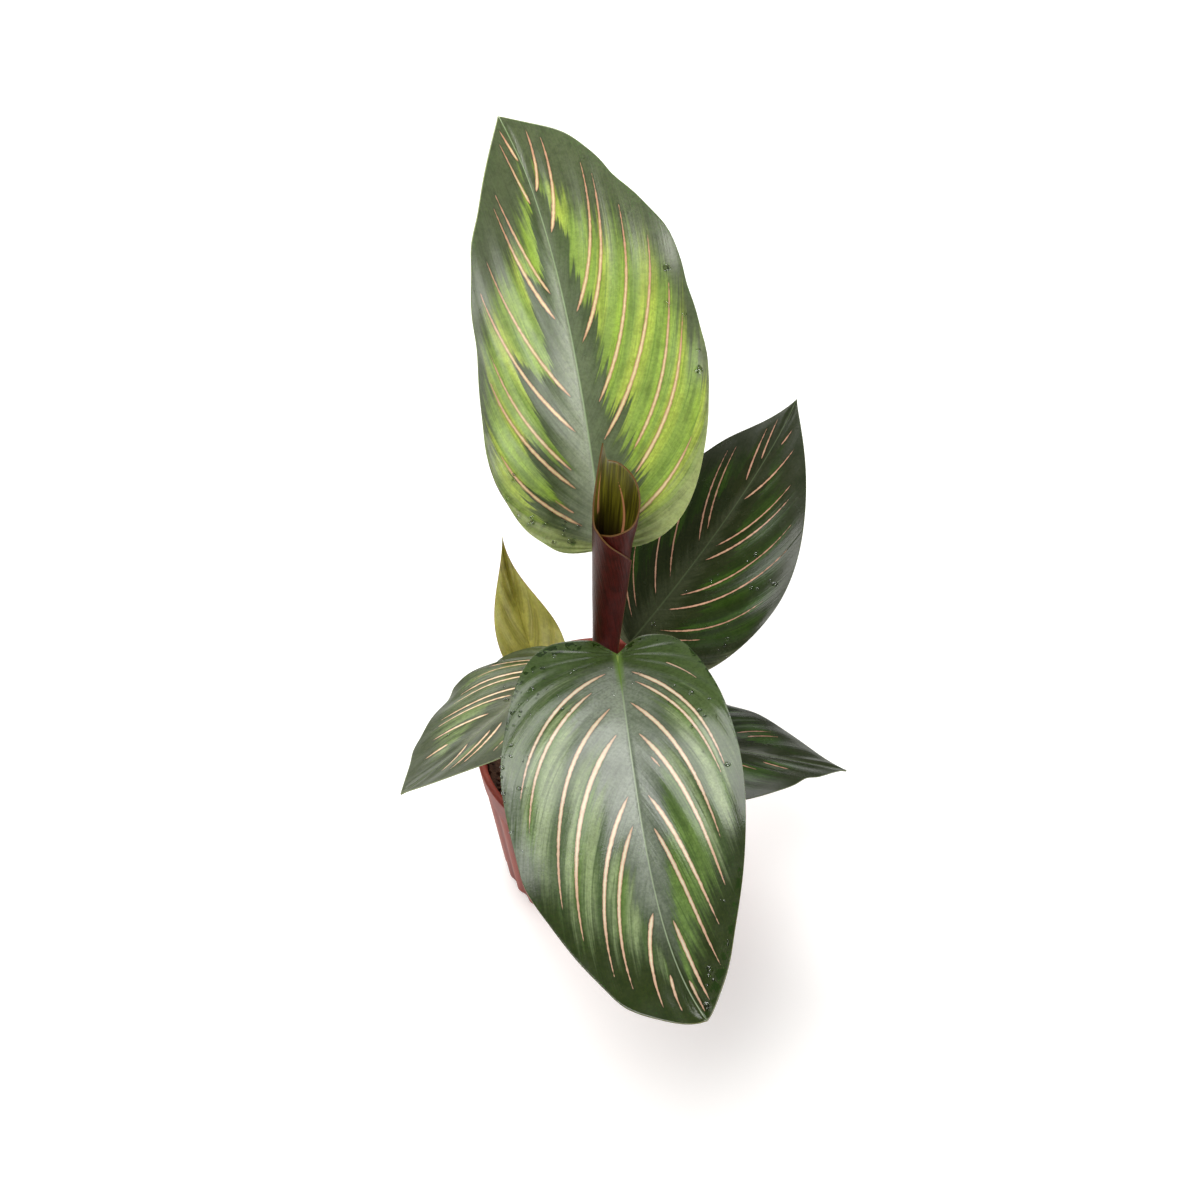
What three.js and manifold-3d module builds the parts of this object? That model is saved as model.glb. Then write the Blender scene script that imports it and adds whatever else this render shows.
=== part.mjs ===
// A young beauty star calathea growing in a small fluted plastic pot.
// Millimetres, +Z up, the origin at the middle of the pot's underside. The front leaf arches towards -Y.
// Every blade is one thin solid. Its lateral veins sweep from the midrib forward to the edge, and the
// blade is pleated along them. Each blade sits on a stalk of its own, whose foot stands in the soil.

import * as THREE from 'three';
import { mergeVertices } from 'three/addons/utils/BufferGeometryUtils.js';
import Module from 'manifold-3d';

const wasm = await Module();
wasm.setup();

const DEG = Math.PI / 180;

// The pot: a tapered wall with upright flutes under a plain rim band, and a floor with drain holes.
const POT = {
  height: 68,
  rimRadius: 42,
  baseRadius: 35,
  wall: 1.4,
  floor: 1.6,
  bandHeight: 12,
  bandStep: 0.7,
  flutes: 32,
  fluteDepth: 0.8,
  drainHoles: 6,
  drainRadius: 3,
  drainRing: 23,
};

// The potting mix, a little mounded, with plain holes for the stalks.
const SOIL = { level: 57, mound: 2.2, crumb: 0.7, gap: 0.35, sides: 40, rings: 5 };
const STALK = { depth: 12, holeGap: 0.35, sides: 8, pieces: 12, capDrop: 0.8, capGap: 1 };

// Blades: thickness, the ridge of the midrib on the underside, its groove on top, and the pleats.
const BLADE = { thick: 0.7, rib: 1.1, groove: 0.25, pleat: 0.35, veinPower: 4.2, rowPower: 1.3 };
const COLUMNS = [0, 0.07, 0.24, 0.44, 0.64, 0.83, 1];
const SPINE_STEPS = 48;

// Angles in degrees. heading is the compass of the midrib, 0 along +X and 90 along +Y, and climb its
// rise over the horizontal. swerve and hook turn it sideways towards the tip, tipClimb and dive bend
// it up or down, and roll turns the blade about it. The outline numbers are shares of the length,
// but for point, a share of halfWidth. Each scallop swells or narrows one hand's edge, 1 the right and
// -1 the left: its hand, its place round the outline, its spread and its share of the half width.
// foot is where the stalk leaves the soil.
const LEAVES = [
  {
    name: 'back', base: [0.5, 23.5, 138.5], length: 138, halfWidth: 36, skew: 0.06,
    heading: 103, swerve: 11, hook: 14, climb: 65.5, tipClimb: 38, dive: -4, bend: 1.2,
    roll: 7, tipRoll: -13.5, fold: 11, curl: 0.08,
    lobe: 0.03, widest: 0.46, belly: 0.24, shoulder: 0.35, taper: 0.05, point: 0.26,
    wave: 1.1, waves: 3.5, wavePhase: 0.15, rows: 24, foot: [-0.5, 19], footRadius: 2.4, neckRadius: 1.5,
    lean: 0.7, blade: 0x87a04a, stalk: 0x6a6a3c,
    scallops: [
      [1, 0.47, 0.035, 0.025], [1, 0.55, 0.02, -0.02], [1, 0.62, 0.03, 0.035], [1, 0.715, 0.03, -0.05],
      [1, 0.85, 0.06, 0.14], [-1, 0.17, 0.05, -0.05], [-1, 0.375, 0.05, 0.045], [-1, 0.54, 0.03, -0.025],
      [-1, 0.675, 0.035, 0.055],
    ],
  },
  {
    name: 'right', base: [9, 19.5, 93], length: 100, halfWidth: 31, skew: 0.02,
    heading: 36, swerve: 24, hook: 6, climb: 39, tipClimb: 17, dive: 1.5, bend: 1.2,
    roll: -2, tipRoll: 9.5, fold: 2, curl: -0.1,
    lobe: 0.04, widest: 0.38, belly: 0.25, shoulder: 0.24, taper: 0.12, point: 0.17,
    wave: 0.8, waves: 2.5, wavePhase: 0.4, rows: 20, foot: [10, 13], footRadius: 2.2, neckRadius: 1.4,
    lean: 0.35, blade: 0x33452f, stalk: 0x5c4034,
    scallops: [[1, 0.47, 0.08, 0.035], [-1, 0.8, 0.08, 0.14]],
  },
  {
    name: 'front', base: [5, -8.3, 125.3], length: 133.5, halfWidth: 35.5, skew: 0.1,
    heading: -86, swerve: 4.5, hook: 24.5, climb: 20, tipClimb: -26, dive: 27.5, bend: 1.2,
    roll: -2.5, tipRoll: -12, fold: 11.5, curl: -0.06,
    lobe: 0.2, widest: 0.41, belly: 0.1, shoulder: 0.335, taper: 0.01, point: 0.305,
    wave: 0.9, waves: 3, wavePhase: 0.1, rows: 24, foot: [4, -1.5], footRadius: 2.4, neckRadius: 1.5,
    lean: 0.1, blade: 0x5d7c55, stalk: 0x62733a,
    scallops: [[1, 0.63, 0.04, 0.04], [1, 0.83, 0.04, 0.09], [-1, 0.86, 0.07, 0.08]],
  },
  {
    name: 'left', base: [-8.5, 5.4, 105], length: 81, halfWidth: 23.5, skew: 0,
    heading: -126, swerve: -6, hook: -8, climb: 21, tipClimb: -8.5, dive: 12.5, bend: 1.2,
    roll: -15, tipRoll: -33.5, fold: 8, curl: -0.12,
    lobe: 0.07, widest: 0.42, belly: 0.27, shoulder: 0.28, taper: 0.07, point: 0.25,
    wave: 0.8, waves: 2.5, wavePhase: 0.6, rows: 18, foot: [-5.5, 3], footRadius: 2.1, neckRadius: 1.3,
    lean: 0.3, blade: 0x4a6146, stalk: 0x5c4034,
    scallops: [[1, 0.37, 0.04, -0.11], [1, 0.48, 0.035, 0.12], [1, 0.76, 0.05, 0.09]],
  },
  {
    name: 'low', base: [8, -5, 74], length: 75, halfWidth: 25, skew: 0,
    heading: -19, swerve: 16.5, hook: 3.5, climb: 19.5, tipClimb: -23, dive: 3.5, bend: 1.2,
    roll: 5.5, tipRoll: 29, fold: 4, curl: -0.12,
    lobe: 0.06, widest: 0.43, belly: 0.25, shoulder: 0.25, taper: 0.13, point: 0.18,
    wave: 0.7, waves: 2.5, wavePhase: 0.3, rows: 18, foot: [10.5, -4], footRadius: 2, neckRadius: 1.3,
    lean: 0.35, blade: 0x3c5239, stalk: 0x5c4034,
    scallops: [[1, 0.79, 0.035, -0.15], [-1, 0.8, 0.1, 0.12]],
  },
  {
    name: 'young', base: [-17, 9, 74.5], length: 63, halfWidth: 13, skew: 0,
    heading: 131.5, swerve: -21, hook: -9, climb: 64, tipClimb: 57, dive: 0, bend: 1.2,
    roll: 4, tipRoll: 23, fold: 37.5, curl: 0.03,
    lobe: 0.04, widest: 0.43, belly: 0.25, shoulder: 0.24, taper: 0.23, point: 0.14,
    wave: 0.3, waves: 2, wavePhase: 0, rows: 16, foot: [-9, 11], footRadius: 1.9, neckRadius: 1.1,
    lean: 0.8, blade: 0xa3a03a, stalk: 0x7c7a38, scallops: [],
  },
];

// The newest leaf, still rolled up: a sheet wound a turn and a third about a leaning axis. waist gives
// its radius against the height, flare how far its mouth opens towards +X, and mouth the height of its
// upper edge against the angle round the axis, 0 along +X.
const ROLL = {
  foot: [-0.6, 8], top: [4.7, 17, 171], sheetFrom: 82, coreTo: 104, thick: 0.7, turnPitch: 1.3,
  rows: 7, columns: 40, footRadius: 3.2, flare: 0.9, flareFrom: 150, flareTo: 162, blade: 0x572320,
  waist: [
    [45, 3], [58, 3.2], [82, 3.7], [100, 3.85], [116, 4.5], [128, 5.15], [142, 5.8], [156, 6.45],
    [165, 6.75], [195, 6.85],
  ],
  mouth: [
    [-160, 157], [-128, 159], [-90, 160.5], [-64, 161.5], [-31, 163], [-12, 165.5], [8, 167], [43, 168.5],
    [72, 170.5], [100, 173], [125, 176.5], [138, 183.5], [150, 178], [162, 171], [180, 166], [190, 163],
    [226, 160], [251, 157.5], [284, 154], [330, 147],
  ],
};
const SKIN = { blade: 0.42, stalk: 0.5, pot: 0.48, soil: 0.97 };
const POT_COLOUR = 0xb66256;
const SOIL_COLOUR = 0x3a2618;

// A number between a and b, and a value read off a list of [place, value] pairs.
const mix = (a, b, share) => a + (b - a) * share;

function valueAt(pairs, place) {
  const next = pairs.findIndex(([where]) => where >= place);
  if (next === 0) return pairs[0][1];
  if (next < 0) return pairs[pairs.length - 1][1];
  const [from, low] = pairs[next - 1];
  const [to, high] = pairs[next];
  return mix(low, high, (place - from) / (to - from));
}

// Geometry with shared vertices, its faces turned outwards.
function welded(geometry) {
  const bare = geometry.index ? geometry : geometry.clone();
  bare.deleteAttribute('normal');
  bare.deleteAttribute('uv');
  const mesh = mergeVertices(bare, 1e-4);
  const index = [];
  const from = mesh.index.array;
  for (let i = 0; i < from.length; i += 3) {
    const [a, b, c] = [from[i], from[i + 1], from[i + 2]];
    if (a !== b && b !== c && c !== a) index.push(a, b, c);
  }
  if (signedVolume(mesh.attributes.position, index) < 0) index.reverse();
  mesh.setIndex(index);
  return mesh;
}

function signedVolume(position, index) {
  const corner = [new THREE.Vector3(), new THREE.Vector3(), new THREE.Vector3()];
  let volume = 0;
  for (let i = 0; i < index.length; i += 3) {
    corner.forEach((point, k) => point.fromBufferAttribute(position, index[i + k]));
    volume += corner[0].dot(corner[1].clone().cross(corner[2])) / 6;
  }
  return volume;
}

function solidOf(geometry) {
  const mesh = welded(geometry);
  return new wasm.Manifold(new wasm.Mesh({
    numProp: 3,
    vertProperties: new Float32Array(mesh.attributes.position.array),
    triVerts: new Uint32Array(mesh.index.array),
  }));
}

function geometryOf(solid) {
  const { vertProperties, triVerts } = solid.getMesh();
  const geometry = new THREE.BufferGeometry();
  geometry.setAttribute('position', new THREE.BufferAttribute(new Float32Array(vertProperties), 3));
  geometry.setIndex(new THREE.BufferAttribute(new Uint32Array(triVerts), 1));
  return geometry;
}

function meshOf(name, geometry, colour, roughness) {
  const shown = geometry.clone();
  shown.computeVertexNormals();
  const finish = { color: colour, roughness, metalness: 0, flatShading: true };
  const material = new THREE.MeshStandardMaterial(finish);
  const mesh = new THREE.Mesh(shown, material);
  mesh.name = name;
  return mesh;
}

// A lathe shape bent along a curve: a round stem whose radius follows its own length.
function bentStem(curve, radii, pieces, sides) {
  const profile = [new THREE.Vector2(0, 0)];
  for (let i = 0; i <= pieces; i += 1) {
    profile.push(new THREE.Vector2(valueAt(radii, i / pieces), i / pieces));
  }
  profile.push(new THREE.Vector2(0, 1));
  const geometry = new THREE.LatheGeometry(profile, sides);
  const position = geometry.attributes.position;
  const frames = curve.computeFrenetFrames(pieces, false);
  for (let i = 0; i < position.count; i += 1) {
    const along = Math.round(position.getY(i) * pieces);
    const point = curve.getPointAt(along / pieces);
    point.addScaledVector(frames.normals[along], position.getX(i));
    point.addScaledVector(frames.binormals[along], position.getZ(i));
    position.setXYZ(i, point.x, point.y, point.z);
  }
  return geometry;
}

// The outline of half a blade: share 0 at the stalk, round the lobe, 0.5 at the widest place and
// 1 at the tip. x is the place along the midrib as a share of the length, y the half width.
function outlineOf(leaf, hand) {
  const { lobe, widest, belly, shoulder, taper, point } = leaf;
  const near = new THREE.CubicBezierCurve(
    new THREE.Vector2(0, 0), new THREE.Vector2(-lobe, 0.75),
    new THREE.Vector2(widest - belly, 1), new THREE.Vector2(widest, 1),
  );
  const far = new THREE.CubicBezierCurve(
    new THREE.Vector2(widest, 1), new THREE.Vector2(widest + shoulder, 1),
    new THREE.Vector2(1 - taper, point), new THREE.Vector2(1, 0),
  );
  return (share) => {
    const edge = share < 0.5 ? near.getPoint(share * 2) : far.getPoint(share * 2 - 1);
    for (const [side, centre, spread, swell] of leaf.scallops) {
      if (side === hand) edge.y *= 1 + swell * Math.exp(-(((share - centre) / spread) ** 2));
    }
    return edge;
  };
}

// The midrib in space, with the blade's own directions at each place along it.
function midribOf(leaf) {
  const arch = leaf.tipClimb - leaf.climb;
  const climbAt = (s) => (leaf.climb + arch * s ** leaf.bend + leaf.dive * s ** 5) * DEG;
  const headingAt = (s) => (leaf.heading + leaf.swerve * s + leaf.hook * s ** 5) * DEG;
  const aheadAt = (s) => {
    const level = Math.cos(climbAt(s));
    const [east, north] = [Math.cos(headingAt(s)), Math.sin(headingAt(s))];
    return new THREE.Vector3(level * east, level * north, Math.sin(climbAt(s)));
  };
  const points = [new THREE.Vector3(...leaf.base)];
  for (let i = 0; i < SPINE_STEPS; i += 1) {
    const stride = aheadAt((i + 0.5) / SPINE_STEPS).multiplyScalar(leaf.length / SPINE_STEPS);
    points.push(points[i].clone().add(stride));
  }
  return (s) => {
    const inside = Math.min(Math.max(s, 0), 1);
    const step = Math.min(Math.floor(inside * SPINE_STEPS), SPINE_STEPS - 1);
    const point = points[step].clone().lerp(points[step + 1], inside * SPINE_STEPS - step);
    const ahead = aheadAt(inside);
    point.addScaledVector(ahead, Math.min(s, 0) * leaf.length);
    const level = new THREE.Vector3(Math.sin(headingAt(inside)), -Math.cos(headingAt(inside)), 0);
    const raised = level.clone().cross(ahead);
    const roll = mix(leaf.roll, leaf.tipRoll, inside) * DEG;
    const side = level.clone().multiplyScalar(Math.cos(roll)).addScaledVector(raised, Math.sin(roll));
    const face = raised.clone().multiplyScalar(Math.cos(roll)).addScaledVector(level, -Math.sin(roll));
    return { point, ahead, side, face };
  };
}

// The blade's middle surface: place is the share of the length, out the half width share, hand 1 or -1.
function bladeSurface(leaf) {
  const midrib = midribOf(leaf);
  return (place, out, hand) => {
    const width = leaf.halfWidth * (1 + hand * leaf.skew);
    const across = out * width;
    const { point, side, face } = midrib(place);
    const flare = (leaf.curl * across) / leaf.halfWidth;
    const reach = across * Math.cos(leaf.fold * DEG) * (1 - 0.5 * flare ** 2);
    const turns = leaf.waves * place + leaf.wavePhase + (hand > 0 ? 0 : 0.37);
    const ripple = leaf.wave * out ** 3 * Math.sin(2 * Math.PI * turns);
    const lift = across * Math.sin(leaf.fold * DEG) + flare * across + ripple;
    return point.addScaledVector(side, hand * reach).addScaledVector(face, lift);
  };
}

// A place on a lateral vein: share picks the vein by where it meets the edge, u runs along it.
function veinPoint(outline, share, u) {
  const root = share ** BLADE.veinPower;
  const edge = outline(share);
  const knee = new THREE.Vector2(root + 0.4 * (edge.x - root), 0.92 * edge.y);
  const vein = new THREE.QuadraticBezierCurve(new THREE.Vector2(root, 0), knee, edge);
  return vein.getPoint(u);
}

function bladeGeometry(leaf) {
  const surface = bladeSurface(leaf);
  const outlines = new Map([[1, outlineOf(leaf, 1)], [-1, outlineOf(leaf, -1)]]);
  const last = COLUMNS.length - 1;
  const vertices = [];
  const index = [];

  const normalAt = (place, out, hand) => {
    const step = 0.004;
    const inner = Math.max(out - step, 0);
    const along = surface(place + step, out, hand).sub(surface(place - step, out, hand));
    const outward = surface(place, out + step, hand).sub(surface(place, inner, hand));
    return outward.cross(along).multiplyScalar(hand).normalize();
  };
  // One place of the grid makes a vertex on the upper face and one on the lower.
  const addPair = (row, column, hand) => {
    const share = 1 - (1 - row / leaf.rows) ** BLADE.rowPower;
    const flat = veinPoint(outlines.get(hand), share, COLUMNS[column]);
    const middle = surface(flat.x, flat.y, hand);
    const normal = column === 0
      ? normalAt(flat.x, 0.01, 1).add(normalAt(flat.x, 0.01, -1)).normalize()
      : normalAt(flat.x, flat.y, hand);
    const fade = Math.sin(Math.PI * COLUMNS[column]);
    const pleat = BLADE.pleat * (row % 2 === 0 ? 1 : -1) * fade;
    const rib = column === 0 ? BLADE.rib * (1 - 0.75 * flat.x) : 0;
    const groove = column === 0 ? BLADE.groove : 0;
    const upper = middle.clone().addScaledVector(normal, BLADE.thick / 2 + pleat - groove);
    const lower = middle.clone().addScaledVector(normal, -BLADE.thick / 2 + pleat - rib);
    vertices.push(upper.x, upper.y, upper.z, lower.x, lower.y, lower.z);
    return vertices.length / 6 - 1;
  };
  const spine = [];
  for (let row = 0; row <= leaf.rows; row += 1) spine.push(addPair(row, 0, 1));

  for (const hand of [1, -1]) {
    const grid = spine.map((start, row) => {
      if (row === 0 || row === leaf.rows) return COLUMNS.map(() => start);
      return COLUMNS.map((u, column) => (column === 0 ? start : addPair(row, column, hand)));
    });
    // A triangle on both faces, the lower one turned over.
    const both = (a, b, c) => {
      if (a === b || b === c || c === a) return;
      const [p, q] = hand > 0 ? [b, c] : [c, b];
      index.push(2 * a, 2 * p, 2 * q, 2 * a + 1, 2 * q + 1, 2 * p + 1);
    };
    for (let row = 0; row < leaf.rows; row += 1) {
      for (let column = 0; column < last; column += 1) {
        const [a, b] = [grid[row][column], grid[row][column + 1]];
        const [c, d] = [grid[row + 1][column + 1], grid[row + 1][column]];
        both(a, b, c);
        both(a, c, d);
      }
      const rim = [grid[row][last], grid[row + 1][last]];
      const [low, high] = hand > 0 ? rim : rim.reverse();
      index.push(2 * low, 2 * low + 1, 2 * high + 1, 2 * low, 2 * high + 1, 2 * high);
    }
  }
  const geometry = new THREE.BufferGeometry();
  geometry.setAttribute('position', new THREE.BufferAttribute(new Float32Array(vertices), 3));
  geometry.setIndex(index);
  return welded(geometry);
}

// The stalk rises out of the soil, swells a little at its neck and ends just under the blade.
function stalkGeometry(leaf) {
  const { point, ahead, face } = midribOf(leaf)(0);
  const up = new THREE.Vector3(0, 0, 1);
  const arrival = up.clone().lerp(ahead, leaf.lean).normalize();
  const end = point.clone().addScaledVector(face, -STALK.capDrop).addScaledVector(arrival, -STALK.capGap);
  const start = new THREE.Vector3(leaf.foot[0], leaf.foot[1], SOIL.level - STALK.depth);
  const collar = start.clone().setZ(SOIL.level + SOIL.mound);
  const rise = end.z - collar.z;
  const curve = new THREE.CurvePath();
  curve.add(new THREE.LineCurve3(start, collar));
  curve.add(new THREE.CubicBezierCurve3(
    collar, collar.clone().addScaledVector(up, rise * 0.4),
    end.clone().addScaledVector(arrival, -rise * 0.3), end,
  ));
  const radii = [
    [0, leaf.footRadius], [0.35, leaf.footRadius], [0.7, leaf.neckRadius * 0.92],
    [0.86, leaf.neckRadius], [0.94, leaf.neckRadius * 1.12], [1, leaf.neckRadius * 0.9],
  ];
  return welded(bentStem(curve, radii, STALK.pieces, STALK.sides));
}

// A hole in the soil for a stem of this radius, standing upright over its foot.
function holeTool(foot, radius) {
  const depth = STALK.depth + STALK.holeGap;
  const over = 10;
  const wide = radius + STALK.holeGap;
  const cutter = new THREE.CylinderGeometry(wide, wide, depth + over, 12);
  cutter.rotateX(Math.PI / 2);
  cutter.translate(foot[0], foot[1], SOIL.level - depth + (depth + over) / 2);
  return solidOf(cutter);
}

const wallRadius = (z) => mix(POT.baseRadius, POT.rimRadius, z / POT.height);

function potGeometry() {
  const { height, wall, floor, bandHeight, bandStep } = POT;
  const band = height - bandHeight;
  const inside = (z) => wallRadius(z) - bandStep - POT.fluteDepth / 2 - wall;
  const profile = [
    [0, 0], [wallRadius(0) - bandStep - 1, 0], [wallRadius(1) - bandStep, 1],
    [wallRadius(band) - bandStep, band - 3], [wallRadius(band), band], [wallRadius(height), height - 1],
    [wallRadius(height) - 1, height], [inside(height) + 0.6, height], [inside(height), height - 1],
    [inside(floor), floor], [0, floor],
  ];
  const points = profile.map(([radius, z]) => new THREE.Vector2(radius, z));
  const lathe = new THREE.LatheGeometry(points, POT.flutes * 2);
  const position = lathe.attributes.position;
  for (let i = 0; i < position.count; i += 1) {
    const [x, z, y] = [position.getX(i), position.getY(i), -position.getZ(i)];
    const radius = Math.hypot(x, y);
    const fluted = z < band - 1 && radius > inside(z) + 0.9;
    const beat = Math.cos(Math.atan2(y, x) * POT.flutes);
    const scale = fluted ? 1 + (POT.fluteDepth / 2 * beat) / radius : 1;
    position.setXYZ(i, x * scale, y * scale, z);
  }
  let pot = solidOf(lathe);
  for (let k = 0; k < POT.drainHoles; k += 1) {
    const angle = ((k + 0.5) / POT.drainHoles) * 2 * Math.PI;
    const drill = new THREE.CylinderGeometry(POT.drainRadius, POT.drainRadius, floor * 4, 12);
    drill.rotateX(Math.PI / 2);
    drill.translate(POT.drainRing * Math.cos(angle), POT.drainRing * Math.sin(angle), floor / 2);
    pot = pot.subtract(solidOf(drill));
  }
  return geometryOf(pot);
}

function soilGeometry() {
  const bottom = POT.floor + SOIL.gap;
  const side = (z) => wallRadius(z) - POT.bandStep - POT.fluteDepth / 2 - POT.wall - SOIL.gap;
  const points = [new THREE.Vector2(0, bottom), new THREE.Vector2(side(bottom), bottom)];
  for (let ring = SOIL.rings; ring >= 0; ring -= 1) {
    points.push(new THREE.Vector2((side(SOIL.level) * ring) / SOIL.rings, SOIL.level));
  }
  const lathe = new THREE.LatheGeometry(points, SOIL.sides);
  const position = lathe.attributes.position;
  for (let i = 0; i < position.count; i += 1) {
    const [x, z, y] = [position.getX(i), position.getY(i), -position.getZ(i)];
    const share = Math.hypot(x, y) / side(SOIL.level);
    const top = z === SOIL.level && share < 0.99;
    const lumps = Math.sin(x * 0.55 + 1) * Math.cos(y * 0.48) + 0.6 * Math.sin(x * 1.1 + y * 0.9);
    const lift = top ? SOIL.mound * (1 - share ** 2) + SOIL.crumb * lumps * (1 - share) : 0;
    position.setXYZ(i, x, y, z + lift);
  }
  let soil = solidOf(lathe);
  for (const leaf of LEAVES) soil = soil.subtract(holeTool(leaf.foot, leaf.footRadius));
  soil = soil.subtract(holeTool(ROLL.foot, ROLL.footRadius));
  return geometryOf(soil);
}

// The axis of the rolled leaf at a height, a slow arc from its foot to its top.
function rollAxis(z) {
  const start = SOIL.level + 2 * SOIL.mound;
  const share = Math.max(z - start, 0) / (ROLL.top[2] - start);
  const [x, y] = [0, 1].map((axis) => mix(ROLL.foot[axis], ROLL.top[axis], share));
  return new THREE.Vector2(x, y);
}

function rollPoint(angle, z, inwards) {
  const axis = rollAxis(z);
  const open = THREE.MathUtils.smoothstep(z, ROLL.flareFrom, ROLL.flareTo);
  const flare = ROLL.flare * open * Math.max(Math.cos(angle * DEG), 0) ** 2;
  const radius = valueAt(ROLL.waist, z) + (ROLL.turnPitch * angle) / 360 - 0.35 + flare - inwards;
  const [east, north] = [radius * Math.cos(angle * DEG), radius * Math.sin(angle * DEG)];
  return new THREE.Vector3(axis.x + east, axis.y + north, z);
}

function rolledLeafGeometry() {
  const [first, final] = [ROLL.mouth[0][0], ROLL.mouth[ROLL.mouth.length - 1][0]];
  const { rows, columns, sheetFrom, thick } = ROLL;
  const vertices = [];
  const index = [];
  const at = (column, row, layer) => 2 * (column * (rows + 1) + row) + layer;
  for (let column = 0; column <= columns; column += 1) {
    const angle = mix(first, final, column / columns);
    const top = valueAt(ROLL.mouth, angle);
    for (let row = 0; row <= rows; row += 1) {
      const z = mix(sheetFrom, top, row / rows);
      vertices.push(...rollPoint(angle, z, 0), ...rollPoint(angle, z, thick));
    }
  }
  const quad = (a, b, c, d) => index.push(a, b, c, a, c, d);
  for (let column = 0; column < columns; column += 1) {
    for (let row = 0; row < rows; row += 1) {
      const corners = [[column, row], [column + 1, row], [column + 1, row + 1], [column, row + 1]];
      quad(...corners.map(([c, r]) => at(c, r, 0)));
      quad(...corners.map(([c, r]) => at(c, r, 1)).reverse());
    }
    quad(at(column, 0, 1), at(column + 1, 0, 1), at(column + 1, 0, 0), at(column, 0, 0));
    quad(at(column, rows, 0), at(column + 1, rows, 0), at(column + 1, rows, 1), at(column, rows, 1));
  }
  for (let row = 0; row < rows; row += 1) {
    quad(at(0, row, 0), at(0, row + 1, 0), at(0, row + 1, 1), at(0, row, 1));
    quad(at(columns, row, 1), at(columns, row + 1, 1), at(columns, row + 1, 0), at(columns, row, 0));
  }
  const sheet = new THREE.BufferGeometry();
  sheet.setAttribute('position', new THREE.BufferAttribute(new Float32Array(vertices), 3));
  sheet.setIndex(index);

  // The solid foot of the roll, which the sheet grows out of.
  const root = SOIL.level - STALK.depth;
  const profile = [
    [0, root], [ROLL.footRadius, root], [ROLL.footRadius, SOIL.level + 3], [3.8, sheetFrom - 4],
    [4.6, sheetFrom + 2], [3.1, sheetFrom + 5], [3, ROLL.coreTo - 4], [0, ROLL.coreTo],
  ];
  const core = new THREE.LatheGeometry(profile.map(([radius, z]) => new THREE.Vector2(radius, z)), 14);
  const position = core.attributes.position;
  for (let i = 0; i < position.count; i += 1) {
    const [x, z, y] = [position.getX(i), position.getY(i), -position.getZ(i)];
    const axis = rollAxis(z);
    position.setXYZ(i, x + axis.x, y + axis.y, z);
  }
  return geometryOf(solidOf(sheet).add(solidOf(core)));
}

const plant = new THREE.Group();
plant.name = 'potted_calathea';
plant.add(meshOf('pot', potGeometry(), POT_COLOUR, SKIN.pot));
plant.add(meshOf('soil', soilGeometry(), SOIL_COLOUR, SKIN.soil));
for (const leaf of LEAVES) {
  plant.add(meshOf(`${leaf.name}_stalk`, stalkGeometry(leaf), leaf.stalk, SKIN.stalk));
  plant.add(meshOf(`${leaf.name}_leaf`, bladeGeometry(leaf), leaf.blade, SKIN.blade));
}
plant.add(meshOf('rolled_leaf', rolledLeafGeometry(), ROLL.blade, SKIN.blade));

export default plant;
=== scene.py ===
"""Looks for a young beauty star calathea in its small fluted pot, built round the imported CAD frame.

Metres and degrees, +Z up, the origin at the middle of the pot's underside. Each leaf repeats the driving
sizes of its CAD solid and is meshed along its own veins, so that the pinstripes, the lime feathering and
the pleats all follow them.
"""

import logging
import math
from dataclasses import dataclass
from enum import Enum
from functools import cached_property
from typing import ClassVar, NamedTuple

import bmesh
import bpy
import numpy as np
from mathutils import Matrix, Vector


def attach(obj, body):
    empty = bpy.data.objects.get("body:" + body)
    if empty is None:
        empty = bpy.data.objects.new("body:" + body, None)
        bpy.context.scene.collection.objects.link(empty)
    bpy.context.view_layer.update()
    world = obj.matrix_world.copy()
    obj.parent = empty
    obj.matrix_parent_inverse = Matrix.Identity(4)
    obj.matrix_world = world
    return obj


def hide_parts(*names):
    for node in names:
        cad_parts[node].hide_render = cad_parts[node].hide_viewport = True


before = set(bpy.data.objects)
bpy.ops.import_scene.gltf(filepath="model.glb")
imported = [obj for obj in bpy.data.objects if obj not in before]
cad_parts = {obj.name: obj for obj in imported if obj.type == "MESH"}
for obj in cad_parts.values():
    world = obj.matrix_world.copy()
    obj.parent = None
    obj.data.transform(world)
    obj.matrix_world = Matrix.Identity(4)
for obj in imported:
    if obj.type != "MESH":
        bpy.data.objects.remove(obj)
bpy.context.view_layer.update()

LOG = logging.getLogger("calathea")
MM = 0.001
BODY = "root"
FAR_OFF = 5 * MM

Array = np.ndarray
Point = tuple[float, float, float]
Colour = tuple[float, float, float, float]
Pairs = tuple[tuple[float, float], ...]
Socket = bpy.types.NodeSocket
Value = Socket | float
Material = bpy.types.Material
Piece = bpy.types.Object


class Hand(Enum):
    """The two halves of a blade, seen from above with the tip ahead."""

    RIGHT = 1
    LEFT = -1


class Slot(Enum):
    """Names of the material slots."""

    POT = "pot_plastic"
    SOIL = "potting_mix"
    LIME = "leaf_lime"
    DARK = "leaf_dark"
    GREEN = "leaf_green"
    YOUNG = "leaf_young"
    ROLLED = "leaf_rolled"
    STALK_GREEN = "stalk_green"
    STALK_MAROON = "stalk_maroon"


class Skin(Enum):
    """The two faces of a blade, by the place of their material on the mesh."""

    UPPER = 0
    UNDER = 1


def rgb(red: float, green: float, blue: float) -> Colour:
    """Turn a colour of 0 to 255 as seen on a screen into the shader's own linear colour."""
    shares = [channel / 255 for channel in (red, green, blue)]
    linear = [s / 12.92 if s <= 0.04045 else ((s + 0.055) / 1.055) ** 2.4 for s in shares]
    return (linear[0], linear[1], linear[2], 1.0)


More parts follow.
